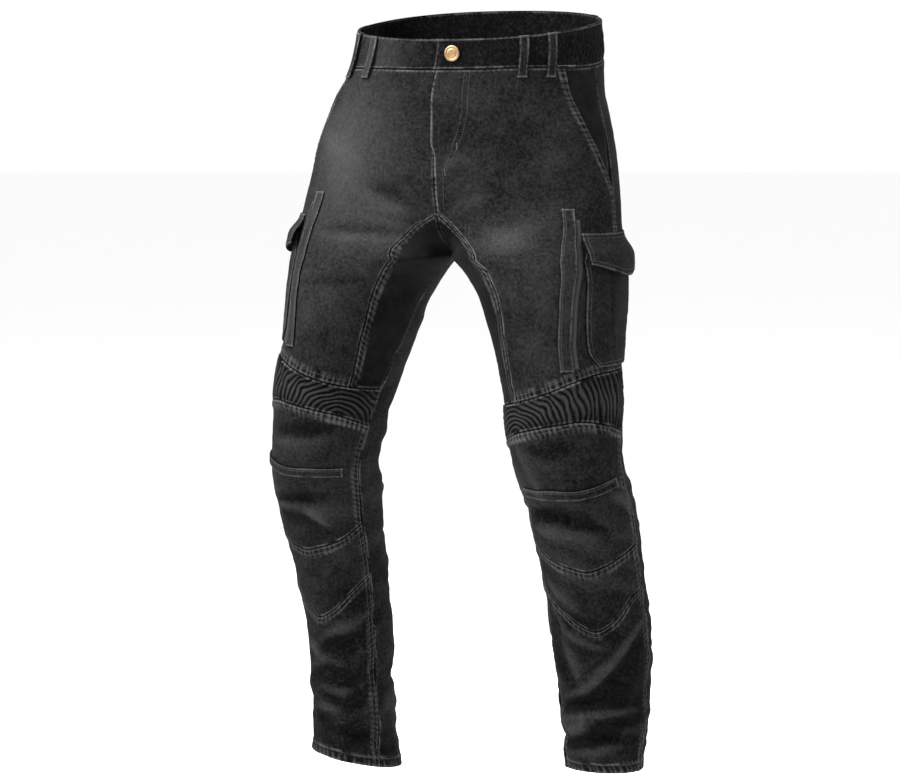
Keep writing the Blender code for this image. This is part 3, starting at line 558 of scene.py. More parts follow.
def shaped(name: str, place: Callable[[Array], Array], flat: Array, edges: dict[str, Seam], thick: float,
           worn: Array, relief: Array | float = 0.0, seed: int = 3) -> Piece:
    """A piece from a function that gives its points at a height over the cloth.

    Args:
        name: the piece's name.
        place: gives the points of the grid at these heights.
        flat: heights of its outer face before the seams' relief.
        edges: how its left, right, top and bottom edges are sewn.
        thick: the cloth's thickness.
        worn: how pale it is at each point, washed out in places and with painted highlight and painted shade.
        relief: more relief of the outer face alone.
        seed: of the seams' wobble.

    Returns:
        The piece.
    """
    plain = place(flat)
    across, down = run_lengths(plain, 1), run_lengths(plain, 0)
    away = {"left": across, "right": across[:, -1:] - across, "top": down, "bottom": down[-1:] - down}
    wobble = Mottle(seed, (0.013, 0.013))
    lift, light = np.zeros(flat.shape), np.zeros(flat.shape)
    for edge, seam in edges.items():
        run = down if edge in ("left", "right") else across
        wave = wobble(run + 0.31 * len(edge), 0 * run + 0.07 * len(edge))
        lift = lift + seam.relief(away[edge], run, wave)
        light = light + seam.wear(away[edge], run, wave)
    outer = place(flat + lift + relief)
    inner = place(flat + np.minimum(lift, 0.0004) - thick)
    return Piece(name, plain, outer, inner, np.clip(worn + light, 0, 1), edges)


def mesh_object(name: str, points: Array, faces: Sequence[Sequence[int]], finish: bpy.types.Material,
                smooth_angle: float = 50.0) -> bpy.types.Object:
    """An object of these points and faces, smooth but for edges over the angle."""
    data = bpy.data.meshes.new(name)
    data.from_pydata(np.asarray(points).tolist(), [], faces)
    data.materials.append(finish)
    data.shade_smooth()
    data.set_sharp_from_angle(angle=math.radians(smooth_angle))
    made = bpy.data.objects.new(name, data)
    bpy.context.scene.collection.objects.link(made)
    return made


def grid_faces(rows: int, columns: int, start: int, turned: bool) -> Array:
    """Quads between neighbouring points of a grid whose first point is at start."""
    corner = (start + np.arange(rows - 1)[:, None] * columns + np.arange(columns - 1)).ravel()
    quads = np.stack([corner, corner + columns, corner + columns + 1, corner + 1], -1)
    return quads[:, ::-1] if turned else quads


def shell_object(piece: Piece, finish: bpy.types.Material) -> bpy.types.Object:
    """The closed shell of a cloth piece, with its flat coordinates and its paleness, washed out in places and with
    painted highlight and painted shade.
    """
    rows, columns = piece.outer.shape[:2]
    count = rows * columns
    index = np.arange(count).reshape(rows, columns)
    rim = np.concatenate([index[0], index[1:, -1], index[-1, -2::-1], index[-2:0:-1, 0]])
    following = np.roll(rim, -1)
    side = np.stack([rim, following, following + count, rim + count], -1)
    faces = np.concatenate([grid_faces(rows, columns, 0, False), grid_faces(rows, columns, count, True), side])
    across, down = np.gradient(piece.outer, axis=1), np.gradient(piece.outer, axis=0)
    if (np.cross(down, across) * (piece.outer - piece.inner)).sum() < 0:
        faces = faces[:, ::-1]
    points = np.concatenate([piece.outer.reshape(-1, 3), piece.inner.reshape(-1, 3)])
    made = mesh_object(piece.name, points, faces.tolist(), finish, 60.0)
    data = made.data
    wear = data.attributes.new("worn", "FLOAT", "POINT")
    wear.data.foreach_set("value", np.tile(piece.worn.ravel(), 2))
    flat = np.stack([run_lengths(piece.plain, 1), run_lengths(piece.plain, 0)], -1).reshape(-1, 2)
    corners = np.empty(len(data.loops), np.int64)
    data.loops.foreach_get("vertex_index", corners)
    data.uv_layers.new(name="cloth").data.foreach_set("uv", flat[corners % count].ravel())
    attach(made, "root")
    return made


def sheet(piece: Piece, spare: float = 1.0) -> None:
    """Works out the flat cloth that the piece is cut from, with spare times its width where it is gathered, and keeps
    none of it.
    """
    width, length, area = piece.cut()
    flat = (round(width * spare, 3), round(length, 3))
    if min(flat) < 0.010:
        return


class Thread:
    """Rows of stitches, gathered into one object for each side of the garment."""

    PITCH, LENGTH, RADIUS = 0.0034, 0.0025, 0.00033

    def __init__(self) -> None:
        """Starts with no stitches, and shapes one: a short bead that narrows to both ends."""
        self.points: list[Array] = []
        self.count = 0
        angles = np.arange(5) * 2 * math.pi / 5
        rings = [(-0.30, 0.85), (0.0, 1.0), (0.30, 0.85)]
        body = [(x, math.cos(a) * r, math.sin(a) * r) for x, r in rings for a in angles]
        self.bead = np.array([(-0.5, 0, -0.4)] + body + [(0.5, 0, -0.4)])
        faces = [(0, 1 + (k + 1) % 5, 1 + k) for k in range(5)]
        for ring in (0, 1):
            faces += [(1 + 5 * ring + k, 1 + 5 * ring + (k + 1) % 5, 6 + 5 * ring + (k + 1) % 5, 6 + 5 * ring + k)
                      for k in range(5)]
        self.faces = faces + [(16, 11 + k, 11 + (k + 1) % 5) for k in range(5)]

    def beads(self, centres: Array, along: Array, away: Array, length: Array | float, radius: float) -> None:
        """Adds a stitch at each centre."""
        across = unit(np.cross(away, along))
        up = np.cross(along, across)
        length = np.broadcast_to(np.asarray(length, float), (len(centres),))
        made = (centres[:, None] + self.bead[None, :, :1] * (along * length[:, None])[:, None]
                + radius * (self.bead[None, :, 1:2] * across[:, None] + self.bead[None, :, 2:] * up[:, None]))
        self.points.append(made)
        self.count += len(centres)

    def row(self, line: tuple[Array, Array], start: float = 0.0, end: float = 0.0, pitch: float = PITCH) -> None:
        """Sews a row along a line of points and normals, leaving start and end metres bare."""
        points, normals = line
        run = run_lengths(points[None], 1)[0]
        if run[-1] - start - end < 2 * pitch:
            return
        at = np.arange(start + pitch / 2, run[-1] - end, pitch)
        length = self.LENGTH * pitch / self.PITCH

        def read(values: Array, where: Array) -> Array:
            """The line's values at these runs."""
            return np.stack([np.interp(where, run, values[:, k]) for k in range(3)], -1)

        ends = read(points, at + length / 2) - read(points, at - length / 2)
        away = unit(read(normals, at))
        self.beads(read(points, at) + away * self.RADIUS * 0.55, unit(ends), away, length, self.RADIUS)

    def bar(self, centre: Array, along: Array, away: Array, length: float, count: int = 9) -> None:
        """Sews a bar tack: close stitches across a short line."""
        along, away = unit(along), unit(away)
        across = unit(np.cross(away, along))
        places = centre + along * (np.linspace(-0.5, 0.5, count) * length)[:, None] + away * self.RADIUS * 0.8
        self.beads(places, np.tile(across, (count, 1)), np.tile(away, (count, 1)), 0.0022, self.RADIUS * 1.15)

    def make(self, name: str, finish: bpy.types.Material) -> bpy.types.Object:
        """Joins the stitches into one object."""
        points = np.concatenate(self.points).reshape(-1, 3)
        base = np.array([list(f) + [-1] * (4 - len(f)) for f in self.faces])
        all_faces = (base[None] + np.where(base < 0, 0, np.arange(self.count)[:, None, None] * len(self.bead)))
        faces = [[int(v) for v in f if v >= 0] for f in all_faces.reshape(-1, 4)]
        made = mesh_object(name, points, faces, finish)
        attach(made, "root")
        return made


def level_curve(name: str) -> Curve:
    """Height of a seam across the left leg by turn."""
    return Curve(Panels.ACROSS_TURNS, Panels.ACROSS[name])


class Panels:
    """The cut panels of both halves, from the waist seam to the hems."""

    THIGH_SEAM = {
        Side.LEFT: Curve((0.2105, 0.240, 0.2775, 0.310, 0.340, 0.380, 0.420, 0.440, 0.540),
                         (0.001, 0.058, 0.183, 0.193, 0.183, 0.158, 0.135, 0.127, 0.127)),
        Side.RIGHT: Curve((0.2105, 0.240, 0.2775, 0.310, 0.340, 0.380, 0.420, 0.440, 0.540),
                          (0.001, 0.070, 0.160, 0.148, 0.136, 0.124, 0.107, 0.102, 0.102)),
    }
    POCKET_MOUTH = Curve((0.000, 0.050, 0.090, 0.123, 0.153, 0.178), (0.338, 0.369, 0.398, 0.432, 0.469, 0.500))
    INSEAM = Curve((0.430, 0.510, 0.580, 0.720, 0.830, 0.990), (0.000, 0.020, 0.040, 0.038, 0.043, 0.046))
    OUTSEAM = Curve((0.420, 0.520, 0.600, 0.990), (0.500, 0.470, 0.447, 0.450))
    ACROSS_TURNS = (0.000, 0.040, 0.110, 0.190, 0.250, 0.310, 0.380, 0.450, 0.500)
    ACROSS = {
        "rib_top": (-0.494, -0.492, -0.487, -0.477, -0.467, -0.456, -0.447, -0.445, -0.444),
        "rib_bottom": (-0.546, -0.539, -0.527, -0.517, -0.511, -0.507, -0.512, -0.522, -0.530),
        "knee_pocket": (-0.606, -0.606, -0.606, -0.606, -0.606, -0.602, -0.593, -0.586, -0.584),
        "knee_middle": (-0.670, -0.677, -0.696, -0.709, -0.714, -0.706, -0.691, -0.679, -0.672),
        "knee_bottom": (-0.730, -0.738, -0.761, -0.790, -0.800, -0.786, -0.756, -0.738, -0.730),
    }
    RIGHT_RISE = {"rib_top": 0.013, "rib_bottom": 0.013, "knee_pocket": 0.014, "knee_middle": 0.006,
                  "knee_bottom": -0.008}
    RIBS = 31
    RIB_RISE = 0.0032
    HEM_BAND = 0.014
    PLEAT_CENTRE = (0.19, 1.10)
    PLEAT_SIZE = (0.26, 0.060)

    def __init__(self, finishes: dict[str, bpy.types.Material], thread: Thread) -> None:
        """Keeps the finishes and the thread that the panels are sewn with."""
        self.finishes, self.thread = finishes, thread

    def level(self, name: str, turn: Array, side: Side) -> Array:
        """Drop of a seam across the leg."""
        return SEAM_SIDE_Z - level_curve(name)(turn) - (self.RIGHT_RISE[name] if side is Side.RIGHT else 0.0)

    def meets(self, name: str, side: Side, down: Callable[[float], float]) -> float:
        """Drop where a seam across the leg meets one that runs down."""
        if name == "hem":
            return HEM_DROP
        drop = 0.5
        for _ in range(20):
            drop = float(self.level(name, down(drop), side))
        return drop

    def fly_lap(self, side: Side, drop: Array) -> Array:
        """The left front reaches past the middle line at the fly."""
        return 0.0055 * (1 - ease(drop, 0.104, 0.130)) if side is Side.LEFT else 0.0 * drop

    def block(self, side: Side, left: tuple[float, float, Callable], right: tuple[float, float, Callable],
              top: Callable, bottom: Callable, columns: int = 0, step: float = STEP) -> tuple[Array, Array]:
        """Turns and drops of a panel's grid between two seams that run down and two that run across.

        Args:
            side: the half it is on.
            left: its left seam's first and last drop, and the turn for each drop.
            right: the same for its right seam.
            top: gives its top seam's drop for each turn.
            bottom: gives its bottom seam's drop for each turn.
            columns: how many columns it has, or 0 for those that its width asks for.
            step: the height of its rows.

        Returns:
            The turns and drops, set back by half a seam's gap.
        """
        length = (left[1] - left[0] + right[1] - right[0]) / 2
        b = spread(length, step)
        drops = [edge[0] + (edge[1] - edge[0]) * b for edge in (left, right)]
        turns = [edge[2](d) + 0 * d for edge, d in zip((left, right), drops)]
        width = float(((turns[1] - turns[0]) * girth(drops[0])).mean())
        a = np.linspace(0, 1, columns + 1) if columns else spread(width, STEP)
        a, b = np.meshgrid(a, b)
        turn = turns[0][:, None] * (1 - a) + turns[1][:, None] * a
        drop = drops[0][:, None] * (1 - a) + drops[1][:, None] * a
        drop = drop + (top(turn[:1]) - drop[:1]) * (1 - b) + (bottom(turn[-1:]) - drop[-1:]) * b
        half = SEAM_GAP / 2
        for column, sign in ((0, 1), (-1, -1)):
            metres = girth(drop[:, column])
            run_turn, run_drop = np.gradient(turn[:, column]) * metres, np.gradient(drop[:, column])
            run = np.hypot(run_turn, run_drop)
            turn[:, column] += sign * half * run_drop / run / metres
            drop[1:-1, column] -= sign * half * (run_turn / run)[1:-1]
        drop[0] += half
        drop[-1] -= half
        return turn, drop

    def panel(self, name: str, node: str, side: Side, grid: tuple[Array, Array], edges: dict[str, Seam],
              finish: str = "denim", relief: Array | float = 0.0, out: Array | float = 0.0,
              darker: float = 0.0) -> Piece:
        """Makes one panel as an object that replaces its solid."""
        turn, drop = grid

        def place(height: Array) -> Array:
            """Points over the cloth, each half on its own side of the middle line but for the fly's lap."""
            points = CLOTH.points(side, turn, drop, height)
            sway = SWAY(points[..., 2])
            beside = np.maximum((points[..., 0] - sway) * side.value, SEAM_GAP / 2)
            lapped = (drop < 0.128) & (turn < 0.05)
            points[..., 0] = np.where(lapped, points[..., 0], sway + side.value * beside)
            return points

        # The pleats' crests are painted paler as highlight and their grooves darker as painted shade.
        worn = CLOTH.worn(side, turn, drop) - darker + np.clip((relief - 0.0018) * 170, -0.16, 0.32) * (np.ndim(relief) > 0)
        piece = shaped(f"{name}_{side.word}", place, out + 0 * turn, edges, WALL, worn, relief)
        made = shell_object(piece, self.finishes[finish])
        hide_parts(f"{node}_{side.word}")
        sheet(piece)
        for edge, seam in edges.items():
            for distance in seam.rows:
                self.thread.row(piece.line(edge, distance), 0.002, 0.002)
        LOG.info("panel %s %s", piece.name, piece.outer.shape)
        return piece

    def make(self, side: Side) -> None:
        """Makes the panels of one half."""
        seams = {name: (lambda t, n=name: self.level(n, t, side)) for name in self.ACROSS}
        seams["hem"] = lambda t: np.full(np.shape(t), HEM_DROP)
        seams["waist"] = lambda t: np.zeros(np.shape(t))
        seams["thigh_top"] = lambda t: np.full(np.shape(t), THIGH_TOP)

        def thigh(d: Array) -> Array:
            """Turn of the thigh seam, and of the front's edge at the middle line above it."""
            above = np.where(np.asarray(d) > THIGH_TOP - 1e-6, self.THIGH_SEAM[side](d), 0.0)
            return above - self.fly_lap(side, np.asarray(d, float))

        ends = {name: (self.meets(name, side, self.INSEAM), self.meets(name, side, self.OUTSEAM))
                for name in [*self.ACROSS, "hem"]}
        rib_thigh = self.meets("rib_top", side, self.THIGH_SEAM[side])
        # The left front's fly edge gets a strong painted highlight along its fold.
        middle = Seam(pucker=0.0002, roll=0.0006, shine=2.6) if side is Side.LEFT else Seam(pucker=0.0003, roll=0.0013)
        self.front = self.panel(
            "front_panel", "front", side,
            self.block(side, (0.0, rib_thigh, thigh), (0.0, ends["rib_top"][1], self.POCKET_MOUTH),
                       seams["waist"], seams["rib_top"]),
            {"left": middle, "right": TOPSTITCHED, "bottom": TOPSTITCHED, "top": PLAIN})
        self.facing(side)
        self.panel("thigh_gusset", "inner_thigh", side,
                   self.block(side, (THIGH_TOP, ends["rib_top"][0], self.INSEAM),
                              (THIGH_TOP, rib_thigh, self.THIGH_SEAM[side]), seams["thigh_top"], seams["rib_top"]),
                   {"left": PLAIN, "right": TOPSTITCHED, "bottom": PLAIN}, "stretch", darker=0.06)
        self.pleated(side, seams, ends)
        names = (("knee_panel", "knee_upper", "rib_bottom", "knee_middle"),
                 ("knee_gore", "knee_lower", "knee_middle", "knee_bottom"), ("shin_panel", "shin", "knee_bottom", "hem"))
        for name, node, top, bottom in names:
            grid = self.block(side, (ends[top][0], ends[bottom][0], self.INSEAM),
                              (ends[top][1], ends[bottom][1], self.OUTSEAM), seams[top], seams[bottom])
            edges = {"left": DARK_STITCHED, "right": DARK_STITCHED, "top": DARK_STITCHED, "bottom": PLAIN}
            if top == "rib_bottom":
                edges["top"] = BOUND
            if bottom == "hem":
                edges["bottom"] = Seam(rows=(self.HEM_BAND - 0.0015,), fell=self.HEM_BAND, pucker=0.0004, roll=0.0005)
            self.panel(name, node, side, grid, edges)
        grid = self.block(side, (0.0, HEM_DROP, self.OUTSEAM), (0.0, HEM_DROP, lambda d: 1 + self.INSEAM(d)),
                          seams["waist"], seams["hem"])
        hem = Seam(rows=(self.HEM_BAND - 0.0015,), fell=self.HEM_BAND, pucker=0.0004, roll=0.0005)
        self.panel("back_panel", "back", side, grid, {"left": PLAIN, "right": PLAIN, "top": PLAIN, "bottom": hem})

    def facing(self, side: Side) -> None:
        """The cloth that shows inside the slanted pocket mouth."""
        b = spread(POCKET_END, STEP)
        a, b = np.meshgrid(spread(0.10, STEP), b)
        drop = 0.00015 + b * (POCKET_END - 0.0003)
        edge = self.POCKET_MOUTH(drop) - 0.040
        turn = edge + (SIDE_SEAM - 0.0003 - edge) * a
        under = -(WALL + LIFT + 0.0016) * (1 - ease(turn - self.POCKET_MOUTH(drop), 0.005, 0.12)) - 0.0002
        self.panel("pocket_lining", "pocket_facing", side, (turn, drop), {"right": PLAIN, "top": RAW}, "stretch",
                   out=under, darker=0.03)

    def pleated(self, side: Side, seams: dict[str, Callable], ends: dict[str, tuple[float, float]]) -> None:
        """The elastic panel over the knee, gathered into small upright pleats."""
        columns = self.RIBS * 8
        grid = self.block(side, (ends["rib_top"][0], ends["rib_bottom"][0], self.INSEAM),
                          (ends["rib_top"][1], ends["rib_bottom"][1], self.OUTSEAM), seams["rib_top"],
                          seams["rib_bottom"], columns, 0.0012)
        turn, drop = grid
        a, b = np.meshgrid(np.linspace(0, 1, columns + 1), np.linspace(0, 1, len(turn)))
        # The pleats curl round the lower inner end, and are nearly upright towards the side seam
        centre_a, centre_b = self.PLEAT_CENTRE
        width, height = self.PLEAT_SIZE
        away = np.hypot((a - centre_a) * width, (b - centre_b) * height) / width
        wobble = 0.22 * CLOTH.small(a * 0.30, b * 0.03) + 0.10 * np.sin(7 * b + 17 * a)
        crest = np.abs(np.sin(math.pi * (self.RIBS * away + wobble))) ** 0.8
        fading = 0.35 + 0.65 * np.sin(math.pi * np.clip(b, 0, 1)) ** 0.45
        relief = self.RIB_RISE * crest * fading
        piece = self.panel("pleated_panel", "rib", side, grid,
                           {"top": PLAIN, "bottom": PLAIN, "left": PLAIN, "right": PLAIN}, "rib", relief=relief,
                           darker=0.03)
        LOG.info("pleats %s", piece.name)


def strip_object(name: str, side: Side, turn: Array, drop: Array, standoff: Array, edges: dict[str, Seam],
                 finish: bpy.types.Material, thread: Thread | None, thick: float = TRIM_WALL,
                 lighter: float = 0.0, relief: Array | float = 0.0) -> Piece:
    """A cloth piece that lies on the panels, at a standoff from them, with its stitches."""
    piece = shaped(f"{name}_{side.word}", lambda h: CLOTH.points(side, turn, drop, h),
                   LIFT + thick + standoff, edges, thick, CLOTH.worn(side, turn, drop) + lighter, relief)
    made = shell_object(piece, finish)
    sheet(piece)
    for edge, seam in edges.items():
        for distance in seam.rows if thread else ():
            thread.row(piece.line(edge, distance), 0.0015, 0.0015)
    LOG.info("strip %s", piece.name)
    return piece


@dataclass
class Trim:
    """What is sewn on top of the panels of one half: the thigh zip, the knee band and the cargo pocket."""

    side: Side
    finishes: dict[str, bpy.types.Material]
    thread: Thread
    welt_width: float = 0.023
    welt_drops: tuple[float, float] = (0.203, 0.420)
    welt_line: Curve = Curve((0.190, 0.210, 0.250, 0.280, 0.330, 0.366, 0.390, 0.426),
                             (0.293, 0.305, 0.341, 0.366, 0.348, 0.330, 0.316, 0.301))
    band_height: float = 0.014
    pocket_half: Curve = Curve((0.262, 0.300, 0.382, 0.416), (0.106, 0.100, 0.124, 0.131))
    pocket_bulge: float = 0.0075
    corner: float = 0.016
    flap_half: Curve = Curve((0.238, 0.286, 0.302), (0.139, 0.095, 0.092))
    flap_length: tuple[float, float] = (0.046, 0.060)
    flap_bulge: float = 0.004
    tape_width: float = 0.0075

    @property
    def rise(self) -> float:
        """The welt and cargo pocket are higher on the right."""
        return 0.021 if self.side is Side.RIGHT else 0.0

    def dress(self, node: str, piece: Piece) -> None:
        """Lets the finished piece take its solid's place."""
        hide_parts(f"{node}_{self.side.word}")

    def make_zip(self) -> None:
        """The welt with its rows of stitches, and the zip beside its outer edge."""
        top, bottom = self.welt_drops
        a, b = np.meshgrid(spread(self.welt_width, 0.002) - 0.5, spread(bottom - top, STEP))
        drop = top + (bottom - top) * b - self.rise
        turn = self.welt_line(drop) + a * self.welt_width / girth(drop)
        end = Seam(rows=(0.0024,), pucker=0.0001, roll=0.0004)
        inner_edge = Seam(rows=(0.0020, 0.0052), pucker=0.0002, roll=0.0005)
        outer_edge = Seam(rows=(0.0020,), pucker=0.0002, roll=0.0003)
        piece = strip_object("zip_flap", self.side, turn, drop, 0.0002 + 0 * drop,
                             {"left": inner_edge, "right": outer_edge, "top": end, "bottom": end},
                             self.finishes["denim"], self.thread, lighter=0.035)
        self.dress("zip_welt", piece)
        self.make_teeth(top + 0.016 - self.rise, bottom - 0.004 - self.rise)

    def make_teeth(self, top: float, bottom: float) -> None:
        """The zip's tape and its closed teeth."""
        a, b = np.meshgrid(np.linspace(0, 1, 7), spread(bottom - top, STEP))
        drop = top + (bottom - top) * b
        edge = self.welt_line(drop) + (self.welt_width / 2 + 0.0004) / girth(drop)
        turn = edge + a * self.tape_width / girth(drop)
        strip_object("zip_tape", self.side, turn, drop, 0 * drop - 0.0004, {"right": Seam(roll=0.0003)},
                     self.finishes["tape"], None, 0.0008, -0.2)
        at = np.arange(top + 0.004, bottom - 0.003, 0.0011)
        centre = self.welt_line(at) + (self.welt_width / 2 + 0.0004 + self.tape_width / 2) / girth(at)
        zigzag = 0.0007 * (1 - 2 * (np.arange(len(at)) % 2))
        points = CLOTH.points(self.side, centre + zigzag / girth(at), at, LIFT + 0.0009 + 0 * at)
        away = CLOTH.away(self.side, centre, at)
        down = unit(np.gradient(points, axis=0))
        teeth = Thread()
        teeth.beads(points, unit(np.cross(away, down)), away, 0.0030, 0.00055)
        made = teeth.make(f"zip_teeth_{self.side.word}", self.finishes["teeth"])
        LOG.info("teeth %s", made.name)

    def make_band(self) -> None:
        """The narrow stitched band over the knee pocket's mouth."""
        panels = Panels(self.finishes, self.thread)
        a, b = np.meshgrid(0.09 + 0.32 * spread(0.14, 0.0026), spread(self.band_height, 0.002) - 0.5)
        drop = panels.level("knee_pocket", a, self.side) + b * self.band_height
        over = Seam(rows=(0.0016, 0.0052), pucker=0.0003, roll=0.0009, shine=0.7)
        under = Seam(rows=(0.0020,), pucker=0.0003, roll=0.0009, shine=0.8)
        piece = strip_object("knee_band", self.side, a, drop, 0.0005 + 0 * a,
                             {"top": over, "bottom": under, "left": RAW, "right": RAW}, self.finishes["denim"],
                             self.thread, lighter=0.0)
        self.dress("knee_pocket_edge", piece)

    def make_pocket(self) -> None:
        """The cargo pocket, fuller at its middle, with two pressed pleats, and its pointed flap."""
        top, bottom = 0.262, 0.416
        a, b = np.meshgrid(2 * spread(0.15, 0.0028) - 1, spread(bottom - top, 0.0028))
        drop = top + (bottom - top) * b - self.rise
        round_off = np.clip((b - 0.87) / 0.13, 0, 1) ** 1.5 * self.corner / girth(drop)
        turn = SIDE_SEAM + a * (self.pocket_half(drop) - round_off)
        bulge = 0.0001 + self.pocket_bulge * (1 - np.abs(a) ** 3) * np.sin(math.pi * b) ** 0.6
        pleat = sum(-0.0022 * np.exp(-((a - at) / 0.035) ** 2) + 0.0012 * np.exp(-((a - at * 0.84) / 0.05) ** 2)
                    for at in (-0.42, 0.42)) * np.sin(math.pi * b) ** 0.4
        edge = Seam(rows=(0.0022, 0.0078), pucker=0.0003, roll=0.0008)
        piece = strip_object("cargo_bag", self.side, turn, drop, bulge, {k: edge for k in ("left", "right", "bottom")},
                             self.finishes["denim"], self.thread, relief=pleat)
        self.dress("cargo_pocket", piece)
        a, b = np.meshgrid(2 * spread(0.16, 0.0028) - 1, spread(0.055, 0.0028))
        corner, point = self.flap_length
        drop = 0.238 + b * (corner + (point - corner) * np.clip(1.2 * (1 - np.abs(a)), 0, 1)) - self.rise
        turn = SIDE_SEAM + a * self.flap_half(drop)
        clear = 0.0004 + (self.pocket_bulge + TRIM_WALL + 0.0012) * ease(drop + self.rise, top - 0.020, top + 0.010)
        piece = strip_object("cargo_lid", self.side, turn, drop, clear + self.flap_bulge * b * (1 - a * a),
                             {k: Seam(rows=(0.0022, 0.0080), pucker=0.0003, roll=0.0008)
                              for k in ("left", "right", "top", "bottom")},
                             self.finishes["denim"], self.thread, lighter=0.03)
        self.dress("cargo_flap", piece)


class Waist:
    """The waistband, its belt loops and its button."""

    OVERLAP = (-2.0, 16.0)
    LOOP_WIDTH = 0.014
    LOOP_BELOW = 0.013
    LOOP_STANDOFF = 0.0026
    LOOPS = {"front_left_1": 36.0, "front_left_2": 51.5, "front_right_1": -37.0, "front_right_2": -55.0,
             "back_left": 128.0, "back_right": -128.0, "back": 180.0}
    BUTTON_RADIUS = 0.0105
    TAN_ROW = (57.0, 68.0)
    BUTTON_ROUND = 3.6

    def __init__(self, finishes: dict[str, bpy.types.Material], thread: Thread) -> None:
        """Keeps the finishes and the thread."""
        self.finishes, self.thread, self.hips = finishes, thread, CLOTH.hips

    def lap(self, degrees: Array) -> Array:
        """How far out the band's left end stands over its right end."""
        return 0.0019 * (1 - ease(degrees, 14, 34)) - 0.0019 * ease(degrees, 326, 346)

    def worn(self, angle: Array) -> Array:
        """How washed out the band is: most of all over the right hip."""
        hip = np.exp(-((np.degrees(angle) % 360 - 330) / 22) ** 2)
        return 0.015 + 0.19 * hip + 0.03 * CLOTH.patches(angle * 0.15, 0 * angle)

    def make_band(self) -> None:
        """The folded band, with a gathered stretch at each side where elastic is inside."""
        start, end = math.radians(self.OVERLAP[0]), math.radians(360 + self.OVERLAP[1])
        a, up = np.meshgrid(spread(1.0, 0.0026), 1 - spread(0.041, 0.0026))
        angle = start + (end - start) * a
        degrees = np.degrees(angle)
        up = up * (1 - SEAM_GAP / self.hips.BAND_HEIGHT) + SEAM_GAP / self.hips.BAND_HEIGHT
        sides = ease(np.abs(np.sin(angle)), 0.80, 0.95)
        gather = 0.0008 * sides * np.sin(degrees * 2 * math.pi / 3.3 + 2.0 * np.sin(6 * up)) * np.sin(math.pi * up)
        gather = gather + 0.0005 * CLOTH.small(angle * 0.15, up * 0.05)
        long = Seam(rows=(0.0024,), pucker=0.0006, roll=0.0007, shine=1.1)
        end_seam = Seam(rows=(0.0024,), roll=0.0007)
        piece = shaped("waist_band", lambda h: self.hips.waist(angle, up, h), self.lap(degrees),
                       {"top": long, "bottom": long, "left": end_seam, "right": RAW}, BAND_WALL,
                       self.worn(angle), gather)
        made = shell_object(piece, self.finishes["denim"])
        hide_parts("waistband")
        sheet(piece)
        for edge in ("top", "bottom"):
            self.thread.row(piece.line(edge, 0.0024), 0.002, 0.002)
        self.thread.row(piece.line("left", 0.0024), 0.002, 0.002)
        LOG.info("band %s", piece.outer.shape)

    def make_loop(self, name: str, degrees: float) -> None:
        """A belt loop with its two rows of stitches and its bar tacks."""
        half = 0.05
        for _ in range(8):
            ends = self.hips.waist(math.radians(degrees) + np.array((-half, half)), 0.5)
            half *= self.LOOP_WIDTH / np.linalg.norm(ends[1] - ends[0])
        a, down = np.meshgrid(spread(self.LOOP_WIDTH, 0.0016), spread(0.055, 0.0022))
        angle = math.radians(degrees) + half * (2 * a - 1)
        up = 1 - down * (1 + self.LOOP_BELOW / self.hips.band_height(angle))
        lap = 0.0019 * (1 - ease(abs(degrees), 14, 34)) * (degrees > 0)
        stand = LIFT + 0.0003 + lap + self.LOOP_STANDOFF * np.clip(np.sin(math.pi * down), 0, 1) ** 0.35 + TRIM_WALL
        edge = Seam(rows=(0.0028,), roll=0.0006)
        crown = 0.0004 * np.sin(math.pi * a)
        piece = shaped(f"loop_{name}", lambda h: self.hips.waist(angle, up, h), stand + crown,
                       {"left": edge, "right": edge, "top": RAW, "bottom": RAW}, TRIM_WALL, self.worn(angle) + 0.06)
        made = shell_object(piece, self.finishes["denim"])
        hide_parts(f"belt_loop_{name}")
        sheet(piece)
        for each in ("left", "right"):
            self.thread.row(piece.line(each, 0.0028), 0.001, 0.001)
        for each in ("top", "bottom"):
            points, normals = piece.line(each, 0.0022)
            middle = len(points) // 2
            self.thread.bar(points[middle], points[-1] - points[0], normals[middle], 0.0105, 13)

    def make_button(self) -> None:
        """The shank button, turned: a sunk middle, a raised ring and a rounded rim."""
        angle = np.array(math.radians(self.BUTTON_ROUND))
        foot, head = (self.hips.waist(angle, np.array(0.52), np.array(h)) for h in (0.0019, 0.0119))
        out = unit(head - foot)
        across = unit(np.cross(out, (0.0, 0.0, 1.0)))
        up = np.cross(across, out)
        profile = ((0.0, 0.0003), (0.0040, 0.0003), (0.0040, 0.0014), (0.0100, 0.0016), (0.0105, 0.0020),
                   (0.0105, 0.0026), (0.0100, 0.0031), (0.0090, 0.0034), (0.0080, 0.0033), (0.0074, 0.0029),
                   (0.0064, 0.0029), (0.0058, 0.0033), (0.0048, 0.0034), (0.0044, 0.0030), (0.0020, 0.0029), (0.0, 0.0029))
        steps = 64
        points = [foot + out * h + r * (across * math.cos(k) + up * math.sin(k))
                  for r, h in profile for k in np.arange(steps) * 2 * math.pi / steps]
        faces = [(i * steps + k, i * steps + (k + 1) % steps, (i + 1) * steps + (k + 1) % steps, (i + 1) * steps + k)
                 for i in range(len(profile) - 1) for k in range(steps)]
        made = mesh_object("shank_button", np.array(points), faces, self.finishes["brass"], 35.0)
        weld = made.modifiers.new("weld", "WELD")
        weld.merge_threshold = 1e-5
        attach(made, "root")
        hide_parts("waist_button")

    def make(self) -> None:
        """Makes the band, the loops and the button."""
        self.make_band()
        for name, degrees in self.LOOPS.items():
            self.make_loop(name, degrees)
        self.make_button()
        self.sew_tan_row()

